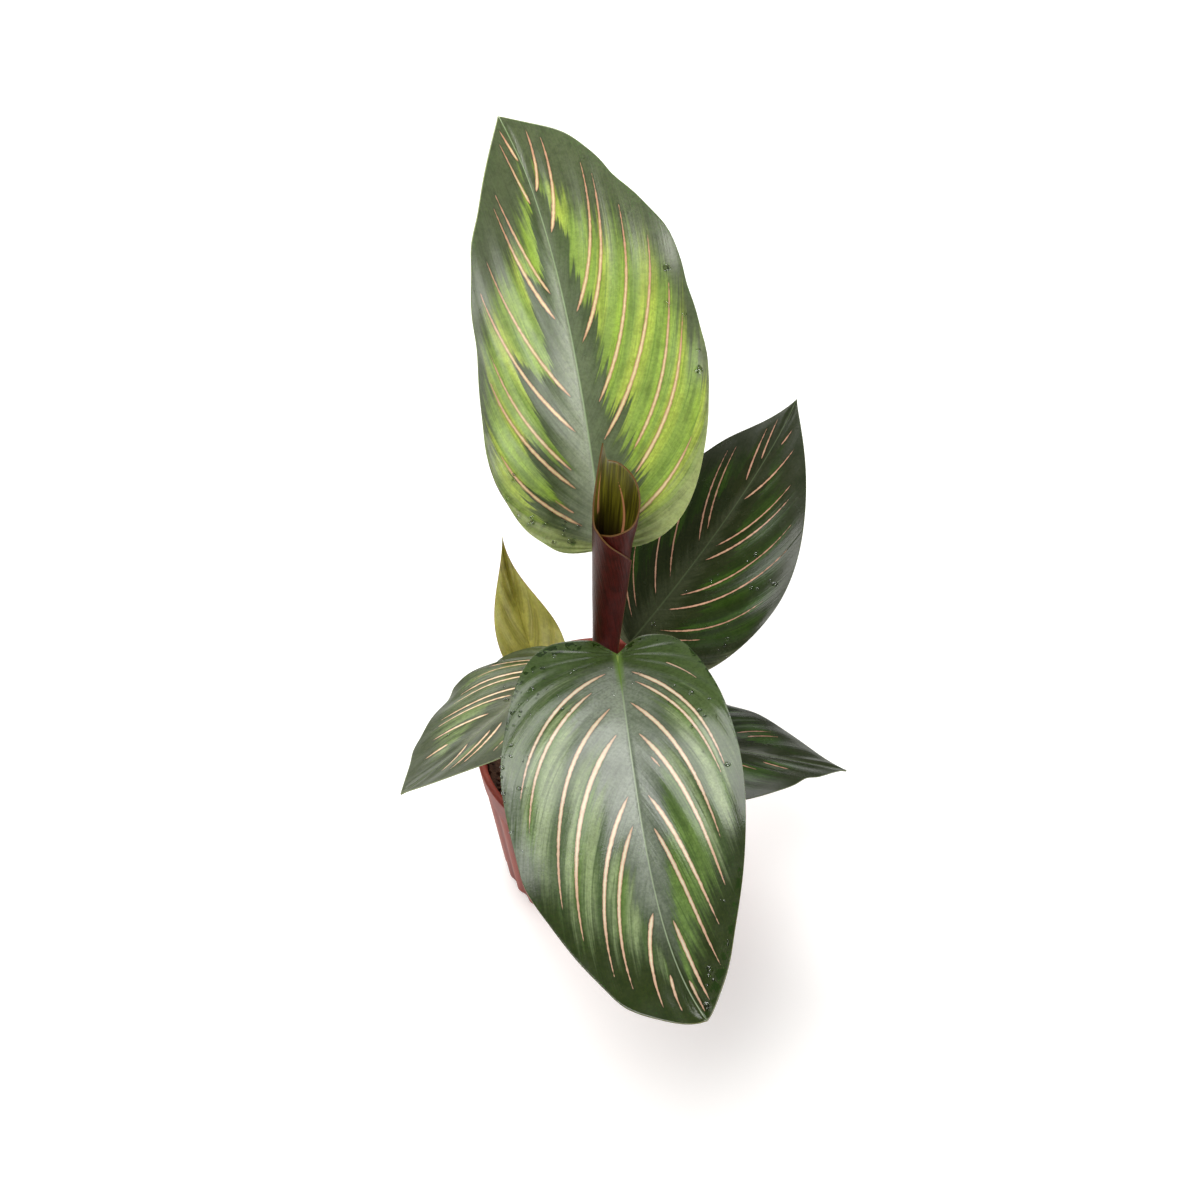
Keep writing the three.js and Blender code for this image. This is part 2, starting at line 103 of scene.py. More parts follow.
def unit(vectors: Array) -> Array:
    """Scale vectors to length 1."""
    return vectors / np.maximum(np.linalg.norm(vectors, axis=-1, keepdims=True), 1e-12)


def smooth_value(pairs: Pairs, places: Array) -> Array:
    """Read a smooth curve through pairs of place and value.

    Args:
        pairs: The curve's points, in rising order of place.
        places: Where to read it.

    Returns:
        The values, on a cubic curve with no kinks at the points.
    """
    table = np.array(pairs, float)
    where, value = table[:, 0], table[:, 1]
    slope = np.gradient(value, where)
    span = np.clip(np.searchsorted(where, places) - 1, 0, len(where) - 2)
    width = where[span + 1] - where[span]
    t = np.clip((places - where[span]) / width, 0, 1)
    start = (1 + 2 * t) * (1 - t) ** 2 * value[span] + t * (1 - t) ** 2 * width * slope[span]
    end = t**2 * (3 - 2 * t) * value[span + 1] - t**2 * (1 - t) * width * slope[span + 1]
    return start + end


def ease(values: Array, low: float, high: float) -> Array:
    """Rise smoothly from 0 at low to 1 at high."""
    share = np.clip((values - low) / (high - low), 0, 1)
    return share**2 * (3 - 2 * share)


def cubic_weights(t: Array) -> tuple[Array, Array, Array, Array]:
    """Give the weights of a cubic curve's four corners, for t from 0 to 1 along it."""
    return (1 - t) ** 3, 3 * t * (1 - t) ** 2, 3 * t**2 * (1 - t), t**3


def full_turn(count: int) -> Array:
    """Give evenly spaced angles round a full turn, in radians."""
    return np.linspace(0, 2 * np.pi, count, endpoint=False)


def circle(turn: Array) -> Array:
    """Give the places at angles in radians on a level circle of radius 1."""
    return np.stack([np.cos(turn), np.sin(turn), np.zeros_like(turn)], axis=-1)


def rotation(first: int, second: int, angle: float) -> Array:
    """Give the matrix that turns rows of points from one axis towards another, by an angle in radians."""
    matrix = np.eye(3)
    matrix[first, first] = matrix[second, second] = math.cos(angle)
    matrix[first, second], matrix[second, first] = math.sin(angle), -math.sin(angle)
    return matrix


def unit_ball(subdivisions: int) -> tuple[Array, Array]:
    """Give the points and the triangles of a faceted ball of radius 1."""
    ball = bmesh.new()
    bmesh.ops.create_icosphere(ball, subdivisions=subdivisions, radius=1.0)
    ball.verts.index_update()
    points = np.array([vertex.co[:] for vertex in ball.verts])
    faces = np.array([[vertex.index for vertex in face.verts] for face in ball.faces])
    ball.free()
    return points, faces


class MeshDraft:
    """A mesh while it is put together from arrays of points and grids of their numbers."""

    def __init__(self) -> None:
        """Start with nothing."""
        self.points: list[Array] = []
        self.values: list[dict[str, Array]] = []
        self.faces: list[Array] = []
        self.paints: list[Array] = []
        self.count = 0

    def add_points(self, points: Array, **values: Array | float) -> Array:
        """Add points of any array shape.

        Args:
            points: The places, with x, y and z on the last axis.
            values: Named numbers that the material reads, one for each point or one for all.

        Returns:
            The points' numbers, in the shape that they came in.
        """
        shape = points.shape[:-1]
        size = int(np.prod(shape))
        self.points.append(points.reshape(-1, 3))
        self.values.append({k: np.broadcast_to(v, shape).reshape(-1) for k, v in values.items()})
        self.count += size
        return np.arange(self.count - size, self.count).reshape(shape)

    def add_faces(self, corners: Array, paint: int = 0) -> None:
        """Add faces of four corners, where a repeated corner makes a triangle."""
        self.faces.append(corners.reshape(-1, 4))
        self.paints.append(np.full(len(self.faces[-1]), paint))

    def add_triangles(self, corners: Array) -> None:
        """Add faces of three corners."""
        self.add_faces(np.concatenate([corners, corners[:, -1:]], axis=1))

    def add_grid(self, ids: Array, paint: int = 0, flip: bool = False, closed: bool = False) -> None:
        """Add the faces between the neighbours in a grid of points.

        Args:
            ids: The grid of point numbers, rows by columns.
            paint: The place of the material on the mesh.
            flip: Turn the faces over.
            closed: Join the last column to the first.
        """
        if closed:
            ids = np.concatenate([ids, ids[:, :1]], axis=1)
        corners = np.stack([ids[:-1, :-1], ids[:-1, 1:], ids[1:, 1:], ids[1:, :-1]], axis=-1)
        self.add_faces(corners[..., ::-1] if flip else corners, paint)

    def add_fan(self, loop: Array, centre: Array, flip: bool = False, **values: float) -> None:
        """Close a loop of points with triangles round a middle point.

        Args:
            loop: The numbers of the loop's points.
            centre: The place of the middle point, which is added here.
            flip: Turn the faces over.
            values: The middle point's named numbers.
        """
        hub = np.repeat(self.add_points(centre[None], **values), len(loop))
        following = np.roll(loop, -1)
        first, second = (following, loop) if flip else (loop, following)
        self.add_triangles(np.stack([first, second, hub], axis=-1))

    def build(self, name: str, *materials: Material) -> Piece:
        """Make the Blender object, without the points that no face uses.

        Args:
            name: The piece's name.
            materials: Its materials, in the order of the paint numbers.

        Returns:
            The object, smooth shaded and linked to the scene.
        """
        points, faces = np.concatenate(self.points), np.concatenate(self.faces)
        paints = np.concatenate(self.paints)
        used, faces = np.unique(faces, return_inverse=True)
        faces = faces.reshape(-1, 4)
        repeats = faces == np.roll(faces, -1, axis=1)
        quads, triangles = repeats.sum(axis=1) == 0, repeats.sum(axis=1) == 1
        thirds = faces[triangles][~repeats[triangles]].reshape(-1, 3)
        mesh = bpy.data.meshes.new(name)
        mesh.from_pydata(points[used].tolist(), [], faces[quads].tolist() + thirds.tolist())
        names = {key for chunk in self.values for key in chunk}
        for key in sorted(names):
            parts = [c.get(key, np.zeros(len(p))) for c, p in zip(self.values, self.points)]
            layer = mesh.attributes.new(key, "FLOAT", "POINT")
            layer.data.foreach_set("value", np.concatenate(parts)[used].astype(np.float32))
        order = np.concatenate([paints[quads], paints[triangles]]).astype(np.int32)
        mesh.polygons.foreach_set("material_index", order)
        mesh.polygons.foreach_set("use_smooth", np.ones(len(order), bool))
        for material in materials:
            mesh.materials.append(material)
        mesh.update()
        piece = bpy.data.objects.new(name, mesh)
        bpy.context.scene.collection.objects.link(piece)
        return piece


def settle(piece: Piece, slot: Slot, *nodes: str) -> Piece:
    """Put a finished piece on the frame.

    Args:
        piece: The Blender object.
        slot: The material slot that its finish belongs to; not used.
        nodes: The CAD nodes that it stands for.

    Returns:
        The same piece.
    """
    if nodes:
        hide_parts(*nodes)
    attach(piece, BODY)
    LOG.info("%s: %d faces", piece.name, len(piece.data.polygons))
    return piece


class Paint:
    """A material while its nodes are laid out. Each call adds one node and returns its output."""

    def __init__(self, name: str) -> None:
        """Start a material with one principled surface."""
        self.material = bpy.data.materials.new(name)
        self.material.use_nodes = True
        self.tree = self.material.node_tree
        self.tree.nodes.clear()
        self.surface = self.tree.nodes.new("ShaderNodeBsdfPrincipled")
        output = self.tree.nodes.new("ShaderNodeOutputMaterial")
        self.tree.links.new(self.surface.outputs[0], output.inputs[0])

    def feed(self, value: Value | tuple, socket: Socket) -> None:
        """Link an output to a socket, or set the socket to a plain value."""
        if isinstance(value, Socket):
            self.tree.links.new(value, socket)
        else:
            socket.default_value = value

    def set(self, **sockets: Value | tuple) -> None:
        """Feed the surface's sockets, named with underscores for spaces."""
        for name, value in sockets.items():
            self.feed(value, self.surface.inputs[name.replace("_", " ")])

    def scatter(self, weight: float, radius: Point, scale: float) -> None:
        """Let light under the surface, with its reach for red, green and blue and their scale in metres."""
        self.set(Subsurface_Weight=weight, Subsurface_Radius=radius, Subsurface_Scale=scale)

    def attribute(self, name: str) -> Socket:
        """Read a named number of the mesh."""
        node = self.tree.nodes.new("ShaderNodeAttribute")
        node.attribute_name = name
        return node.outputs["Fac"]

    def place(self) -> Socket:
        """Read the place in the object's own metres."""
        return self.tree.nodes.new("ShaderNodeTexCoord").outputs["Object"]

    def math(self, step: str, first: Value, second: Value = 0.0) -> Socket:
        """Work out one step of arithmetic, such as MAXIMUM."""
        node = self.tree.nodes.new("ShaderNodeMath")
        node.operation = step
        self.feed(first, node.inputs[0])
        self.feed(second, node.inputs[1])
        return node.outputs[0]

    def plus(self, first: Value, second: Value) -> Socket:
        """Add two numbers."""
        return self.math("ADD", first, second)

    def minus(self, first: Value, second: Value) -> Socket:
        """Take the second number from the first."""
        return self.math("SUBTRACT", first, second)

    def times(self, first: Value, *others: Value) -> Value:
        """Multiply numbers."""
        for other in others:
            first = self.math("MULTIPLY", first, other)
        return first

    def blend(self, first: Socket, first_share: float, second: Socket, second_share: float) -> Socket:
        """Add two numbers, each times its own share."""
        return self.plus(self.times(first, first_share), self.times(second, second_share))

    def point(self, x: Value, y: Value, z: Value = 0.0) -> Socket:
        """Join three numbers to a place."""
        node = self.tree.nodes.new("ShaderNodeCombineXYZ")
        for value, socket in zip((x, y, z), node.inputs):
            self.feed(value, socket)
        return node.outputs[0]

    def noise(self, place: Socket, scale: float, detail: float = 2.0, rough: float = 0.5) -> Socket:
        """Read a cloud of values round one half."""
        node = self.tree.nodes.new("ShaderNodeTexNoise")
        self.feed(place, node.inputs["Vector"])
        self.feed(scale, node.inputs["Scale"])
        self.feed(detail, node.inputs["Detail"])
        self.feed(rough, node.inputs["Roughness"])
        return node.outputs[0]

    def streaks(self, across: Socket, across_scale: float, along: Socket, along_scale: float) -> Socket:
        """Read a noise that is stretched one way, along the second of two numbers of the mesh."""
        place = self.point(self.times(across, across_scale), self.times(along, along_scale))
        return self.noise(place, 1.0, 3.0, 0.6)

    def veined(self, across: float, along: float, seed: float, detail: float = 2.0) -> Socket:
        """Read a noise that is stretched along a blade's veins.

        Args:
            across: Its scale from vein to vein.
            along: Its scale along a vein.
            seed: What sets it apart from the blade's other noises.
            detail: How fine it goes.

        Returns:
            The noise, round one half.
        """
        vein, reach = self.attribute("vein"), self.attribute("reach")
        place = self.point(self.times(vein, across), self.times(reach, along), seed)
        return self.noise(place, 1.0, detail, 0.55)

    def cells(self, place: Socket, scale: float) -> Socket:
        """Read the distance to the nearest of scattered points."""
        node = self.tree.nodes.new("ShaderNodeTexVoronoi")
        self.feed(place, node.inputs["Vector"])
        self.feed(scale, node.inputs["Scale"])
        return node.outputs["Distance"]

    def ramp(self, value: Socket, low: float, high: float, start: float, end: float) -> Socket:
        """Go smoothly from start at low to end at high."""
        node = self.tree.nodes.new("ShaderNodeMapRange")
        node.interpolation_type = "SMOOTHSTEP"
        for number, socket in zip((value, low, high, start, end), node.inputs):
            self.feed(number, socket)
        return node.outputs[0]

    def span(self, value: Socket, low: float, high: float, top: float = 1.0) -> Socket:
        """Rise smoothly from 0 at low to top at high."""
        return self.ramp(value, low, high, 0.0, top)

    def fall(self, value: Socket, low: float, high: float, top: float = 1.0) -> Socket:
        """Fall smoothly from top at low to 0 at high."""
        return self.ramp(value, low, high, top, 0.0)

    def mix(self, share: Value, under: Socket | Colour, over: Socket | Colour) -> Socket:
        """Lay one colour over another."""
        node = self.tree.nodes.new("ShaderNodeMix")
        node.data_type = "RGBA"
        factor, bottom, top, result = node.inputs[0], node.inputs[6], node.inputs[7], node.outputs[2]
        self.feed(share, factor)
        self.feed(under, bottom)
        self.feed(over, top)
        return result

    def bump(self, height: Socket, depth: float, under: Socket | None = None) -> Socket:
        """Turn a height of 0 to 1 into relief of a depth in metres, over other relief if given."""
        node = self.tree.nodes.new("ShaderNodeBump")
        self.feed(1.0, node.inputs["Strength"])
        self.feed(depth, node.inputs["Distance"])
        self.feed(height, node.inputs["Height"])
        if under is not None:
            self.feed(under, node.inputs["Normal"])
        return node.outputs[0]


class Scallop(NamedTuple):
    """A swell or a narrowing of one hand's edge.

    place is where it lies round the outline, from 0 at the stalk to 1 at the tip, spread is how far it
    reaches on it, and swell is a share of the half width, below 0 for a narrowing.
    """

    hand: Hand
    place: float
    spread: float
    swell: float


@dataclass(frozen=True)
class LeafForm:
    """The shape of a blade, with the same formulas as its CAD solid.

    The sizes are the solid's too, but for the front leaf's notch, which is a little narrower. base is the
    place where the midrib starts. heading is the compass of the midrib, 0 along +X and 90 along +Y, and
    climb its rise over the horizontal. swerve and hook turn it sideways towards the tip, tip_climb and
    dive bend it up or down, and bend is how late it arches. roll and tip_roll turn the blade about the
    midrib at its two ends, fold lifts its halves and curl flares their edges. lobe, widest, belly,
    shoulder, taper and point place the outline's corners as shares of the length, but for point, a share
    of half_width. skew widens the right half and narrows the left. wave is the height of the waves at the
    edge, waves their count and wave_phase where they start, and pleats counts the pleats' rows.
    """

    name: str
    base: Point
    length: float
    half_width: float
    heading: float
    swerve: float
    hook: float
    climb: float
    tip_climb: float
    dive: float
    roll: float
    tip_roll: float
    fold: float
    curl: float
    lobe: float
    widest: float
    belly: float
    shoulder: float
    taper: float
    point: float
    wave: float
    waves: float
    wave_phase: float
    pleats: int
    skew: float = 0.0
    bend: float = 1.2
    scallops: tuple[Scallop, ...] = ()

    late_power: ClassVar[int] = 5
    steps: ClassVar[int] = 240
    vein_power: ClassVar[float] = 4.2
    row_power: ClassVar[float] = 1.3
    left_wave_shift: ClassVar[float] = 0.37
    knee: ClassVar[tuple[float, float]] = (0.4, 0.92)
    normal_step: ClassVar[float] = 0.004

    def climb_at(self, place: Array) -> Array:
        """Give the midrib's rise over the horizontal, in radians."""
        arch = self.tip_climb - self.climb
        return np.radians(self.climb + arch * place**self.bend + self.dive * place**self.late_power)

    def heading_at(self, place: Array) -> Array:
        """Give the midrib's compass, in radians."""
        return np.radians(self.heading + self.swerve * place + self.hook * place**self.late_power)

    def ahead_at(self, place: Array) -> Array:
        """Give the midrib's direction."""
        climb, heading = self.climb_at(place), self.heading_at(place)
        flat = np.cos(climb)
        return np.stack([flat * np.cos(heading), flat * np.sin(heading), np.sin(climb)], axis=-1)

    @cached_property
    def spine(self) -> Array:
        """Points along the midrib, evenly spaced."""
        middles = (np.arange(self.steps) + 0.5) / self.steps
        strides = self.ahead_at(middles) * self.length / self.steps
        return np.array(self.base) + np.concatenate([np.zeros((1, 3)), np.cumsum(strides, axis=0)])

    def midrib(self, place: Array) -> tuple[Array, Array, Array, Array]:
        """Give the midrib's point and the blade's own directions.

        Args:
            place: Shares of the length, which may be a little under 0 in the lobes.

        Returns:
            The points, and the directions ahead, to the blade's right side and out of its upper face.
        """
        inside = np.clip(place, 0, 1)
        step = np.minimum((inside * self.steps).astype(int), self.steps - 1)
        rest = (inside * self.steps - step)[..., None]
        ahead = self.ahead_at(inside)
        point = self.spine[step] * (1 - rest) + self.spine[step + 1] * rest
        point = point + ahead * (np.minimum(place, 0) * self.length)[..., None]
        heading = self.heading_at(inside)
        level = np.stack([np.sin(heading), -np.cos(heading), np.zeros_like(heading)], axis=-1)
        raised = np.cross(level, ahead)
        roll = np.radians(self.roll + (self.tip_roll - self.roll) * inside)[..., None]
        side = level * np.cos(roll) + raised * np.sin(roll)
        face = raised * np.cos(roll) - level * np.sin(roll)
        return point, ahead, side, face

    def width(self, hand: Hand) -> float:
        """Give the half width of one hand."""
        return self.half_width * (1 + hand.value * self.skew)

    def surface(self, place: Array, out: Array, hand: Hand) -> Array:
        """Give the blade's middle surface at shares of the length and of the half width."""
        across = out * self.width(hand)
        point, _, side, face = self.midrib(place)
        flare = self.curl * across / self.half_width
        reach = across * math.cos(math.radians(self.fold)) * (1 - 0.5 * flare**2)
        turns = self.waves * place + self.wave_phase + (0 if hand is Hand.RIGHT else self.left_wave_shift)
        ripple = self.wave * out**3 * np.sin(2 * np.pi * turns)
        lift = across * math.sin(math.radians(self.fold)) + flare * across + ripple
        return point + side * (hand.value * reach)[..., None] + face * lift[..., None]

    def normal(self, place: Array, out: Array, hand: Hand) -> Array:
        """Give the direction out of the upper face."""
        step = self.normal_step
        inner = np.maximum(out - step, 0)
        along = self.surface(place + step, out, hand) - self.surface(place - step, out, hand)
        outward = self.surface(place, out + step, hand) - self.surface(place, inner, hand)
        return unit(np.cross(outward, along) * hand.value)

    def edge(self, share: Array, hand: Hand) -> tuple[Array, Array]:
        """Give the outline of one half.

        Args:
            share: 0 at the stalk, round the lobe, 0.5 at the widest place and 1 at the tip.
            hand: The half.

        Returns:
            The place along the midrib and the half width, as shares.
        """
        near = np.array([[0, 0], [-self.lobe, 0.75], [self.widest - self.belly, 1], [self.widest, 1]])
        far = np.array([
            [self.widest, 1], [self.widest + self.shoulder, 1], [1 - self.taper, self.point], [1, 0],
        ])
        late = share >= 0.5
        t = np.where(late, share * 2 - 1, share * 2)
        corners = np.where(late[..., None, None], far, near)
        outline = sum(w[..., None] * corners[..., k, :] for k, w in enumerate(cubic_weights(t)))
        breadth = outline[..., 1]
        for side, place, spread, swell in self.scallops:
            if side is hand:
                breadth = breadth * (1 + swell * np.exp(-(((share - place) / spread) ** 2)))
        return outline[..., 0], breadth

    def vein_point(self, vein: Array, reach: Array, hand: Hand) -> tuple[Array, Array]:
        """Give a place on a lateral vein, which sweeps from the midrib forward to the edge.

        Args:
            vein: The vein, named by where it meets the edge.
            reach: How far along it, 0 at the midrib and 1 at the edge.
            hand: The half of the blade.

        Returns:
            The shares of the length and of the half width.
        """
        root = vein**self.vein_power
        edge_place, edge_out = self.edge(vein, hand)
        forward, outward = self.knee
        knee_place, knee_out = root + forward * (edge_place - root), outward * edge_out
        place = (1 - reach) ** 2 * root + 2 * reach * (1 - reach) * knee_place + reach**2 * edge_place
        out = 2 * reach * (1 - reach) * knee_out + reach**2 * edge_out
        return place, out

    def pleat(self, vein: Array, reach: Array) -> Array:
        """Give the swell of the pleats, from -1 to 1."""
        row = self.pleats * (1 - (1 - np.clip(vein, 0, 1)) ** (1 / self.row_power))
        return np.cos(np.pi * row) * np.sin(np.pi * reach)


@dataclass(frozen=True)
class Stripe:
    """A pinstripe along a vein.

    lean turns it towards the tip on its way out, start and end are reaches along the vein, and width is
    in mm.
    """

    vein: float
    lean: float
    start: float
    end: float
    width: float = 1.15


def pair(
    vein: float, apart: float, lean: float, start: float, end: float, width: float = Stripe.width
) -> tuple[Stripe, ...]:
    """Give two stripes that run side by side.

    Args:
        vein: The first stripe's vein.
        apart: How much further towards the tip the second one's vein is.
        lean: Their lean.
        start: The reach where the first one starts.
        end: The reach where it ends.
        width: Its width in mm.

    Returns:
        Both stripes, the second a little narrower and further out.
    """
    first = Stripe(vein, lean, start, end, width)
    return first, Stripe(vein + apart, lean, start + 0.02, end + 0.01, width * 0.9)


@dataclass(frozen=True)
class Markings:
    """The pinstripes of both halves and the light zone between the midrib's grey and the margin.

    inner and outer are the reaches where the light zone starts and ends. Past each pair of stripes its
    inner edge is cut back by tooth, or by left_tooth on the left half, before the next pair, and rise is
    how much further out it starts at the tip. first and last are the veins between which it lies, and far
    the left half's shift outwards. Stripes closer than pair_gap, in veins, count as a pair.
    """

    right: tuple[Stripe, ...]
    left: tuple[Stripe, ...]
    inner: float = 0.2
    outer: float = 0.86
    tooth: float = 0.12
    rise: float = 0.22
    far: float = 0.08
    first: float = 0.3
    last: float = 0.93
    pair_gap: float = 0.066
    left_tooth: float | None = None

    def of(self, hand: Hand) -> tuple[Stripe, ...]:
        """Give one half's stripes."""
        return self.right if hand is Hand.RIGHT else self.left

    def lean(self, vein: Array, hand: Hand) -> Array:
        """Give how far a vein turns towards the tip on its way out, between those of the stripes."""
        stripes = self.of(hand)
        where = [0.0, *(s.vein for s in stripes), 1.0]
        return np.interp(vein, where, [0.0, *(s.lean for s in stripes), 0.0])

    def phase(self, vein: Array, hand: Hand) -> Array:
        """Tell where a vein lies between the pairs of stripes.

        Args:
            vein: The veins.
            hand: The half of the blade.

        Returns:
            0 at a pair's last stripe, rising to 1 at the next pair's first and back to 0 inside the pair.
        """
        veins = np.array([stripe.vein for stripe in self.of(hand)])
        gaps = np.diff(veins, prepend=-1.0, append=2.0) > self.pair_gap
        knots, phases = [self.first - 0.05], [0.0]
        for place, gap_before, gap_after in zip(veins, gaps[:-1], gaps[1:]):
            knots.append(place)
            phases.append(float(gap_before))
            if gap_before and gap_after:
                knots.append(place + 0.008)
                phases.append(0.0)
        return np.interp(vein, [*knots, 1.0], [*phases, 1.0])

    def inner_edge(self, vein: Array, reach: Array, hand: Hand) -> Array:
        """Give how far a place lies beyond the light zone's inner edge, as a share of the reach."""
        start = self.inner + self.rise * np.clip((vein - 0.55) / 0.4, 0, 1) ** 2
        tooth = self.tooth
        if hand is Hand.LEFT:
            start, tooth = start + self.far, self.left_tooth or tooth
        return reach - start - tooth * self.phase(vein, hand) ** 1.5

    def outer_edge(self, vein: Array, reach: Array) -> Array:
        """Give how far a place lies inside the light zone's outer edge and its ends."""
        outer = self.outer - 0.28 * np.clip((vein - 0.68) / 0.27, 0, 1) ** 1.5
        return np.minimum(outer - reach, np.minimum((vein - self.first) * 1.5, (self.last - vein) * 4))


DEEP_SHADE = (0.0, 0.008, 0.0, 1.0)
WET_GREEN = (0.012, 0.03, 0.003, 1.0)
LEAF_SCATTER = (0.6, 1.0, 0.25)


@dataclass(frozen=True)
class BladeFinish:
    """The colours of a blade's upper face from the midrib out, of its stripes and of its underside.

    silver lies along the midrib as far as the reach silver_reach, with the strengths silver_sheen_right and
    silver_sheen_left on the two halves; where they differ, the stronger half is brighter as painted sheen,
    on the half that faces the light. wedge lies between it and the light zone. The light zone goes from near
    just past a pair of stripes through middle to far before the next pair, with deep in its streaks, as
    strong as contrast, and edge is how soft it starts. margin is outside it, and margin_sheen the strength
    of the silver laid over the right half's margin as a painted sheen. base is round the stalk up to the
    vein base_vein, rim the very edge, rib the midrib and rib_base its colour next to the stalk, with its
    width rib_width in mm. pink and cream are the stripes, as strong as stripe_share. grain is the strength
    of the fine dark grain and wet that of the wet spots. gloss is the mean roughness, shine the specular
    level and glow how much light goes through. under and under_vein are the underside.
    """

    name: str
    silver: Colour
    wedge: Colour
    near: Colour
    middle: Colour
    far: Colour
    deep: Colour
    margin: Colour
    base: Colour
    pink: Colour
    cream: Colour
    rib: Colour
    rim: Colour
    under: Colour
    under_vein: Colour
    rib_base: Colour | None = None
    shine: float = 0.5
    silver_reach: float = 0.3
    base_vein: float = 0.42
    contrast: float = 1.0
    rib_width: float = 0.35
    gloss: float = 0.3
    glow: float = 0.1
    stripe_share: float = 1.0
    wet: float = 0.0
    edge: float = 0.028
    # strengths of the silver on each half; where they differ, the brighter half is painted sheen
    silver_sheen_right: float = 1.0
    silver_sheen_left: float = 1.0
    # strength of the painted sheen laid over the right half's margin, in the silver colour
    margin_sheen: float = 0.0
    grain: float = 0.35

    def upper(self) -> Material:
        """Paint the upper face."""
        return UpperFace(self).build()

    def lower(self) -> Material:
        """Paint the underside, wine red over green."""
        p = Paint(f"{self.name}_under")
        mottle = p.noise(p.place(), 180.0, 4.0, 0.6)
        worn = p.plus(p.veined(110, 2.4, 0.0, 3.0), p.times(mottle, 0.7))
        stripes = p.fall(p.attribute("stripe"), -0.2 * MM, 0.3 * MM, 0.35 * self.stripe_share)
        colour = p.mix(p.span(worn, 0.75, 1.15, 0.6), self.under, self.under_vein)
        colour = p.mix(stripes, colour, self.pink)
        colour = p.mix(p.fall(p.attribute("rib"), 0.6 * MM, 1.6 * MM, 0.8), colour, self.rib)
        lines = p.bump(p.veined(190, 1.0, 3.0, 1.0), 0.3 * MM)
        p.set(Base_Color=colour, Normal=lines, Roughness=p.plus(p.times(mottle, 0.2), 0.42))
        p.scatter(self.glow, LEAF_SCATTER, 1 * MM)
        return p.material


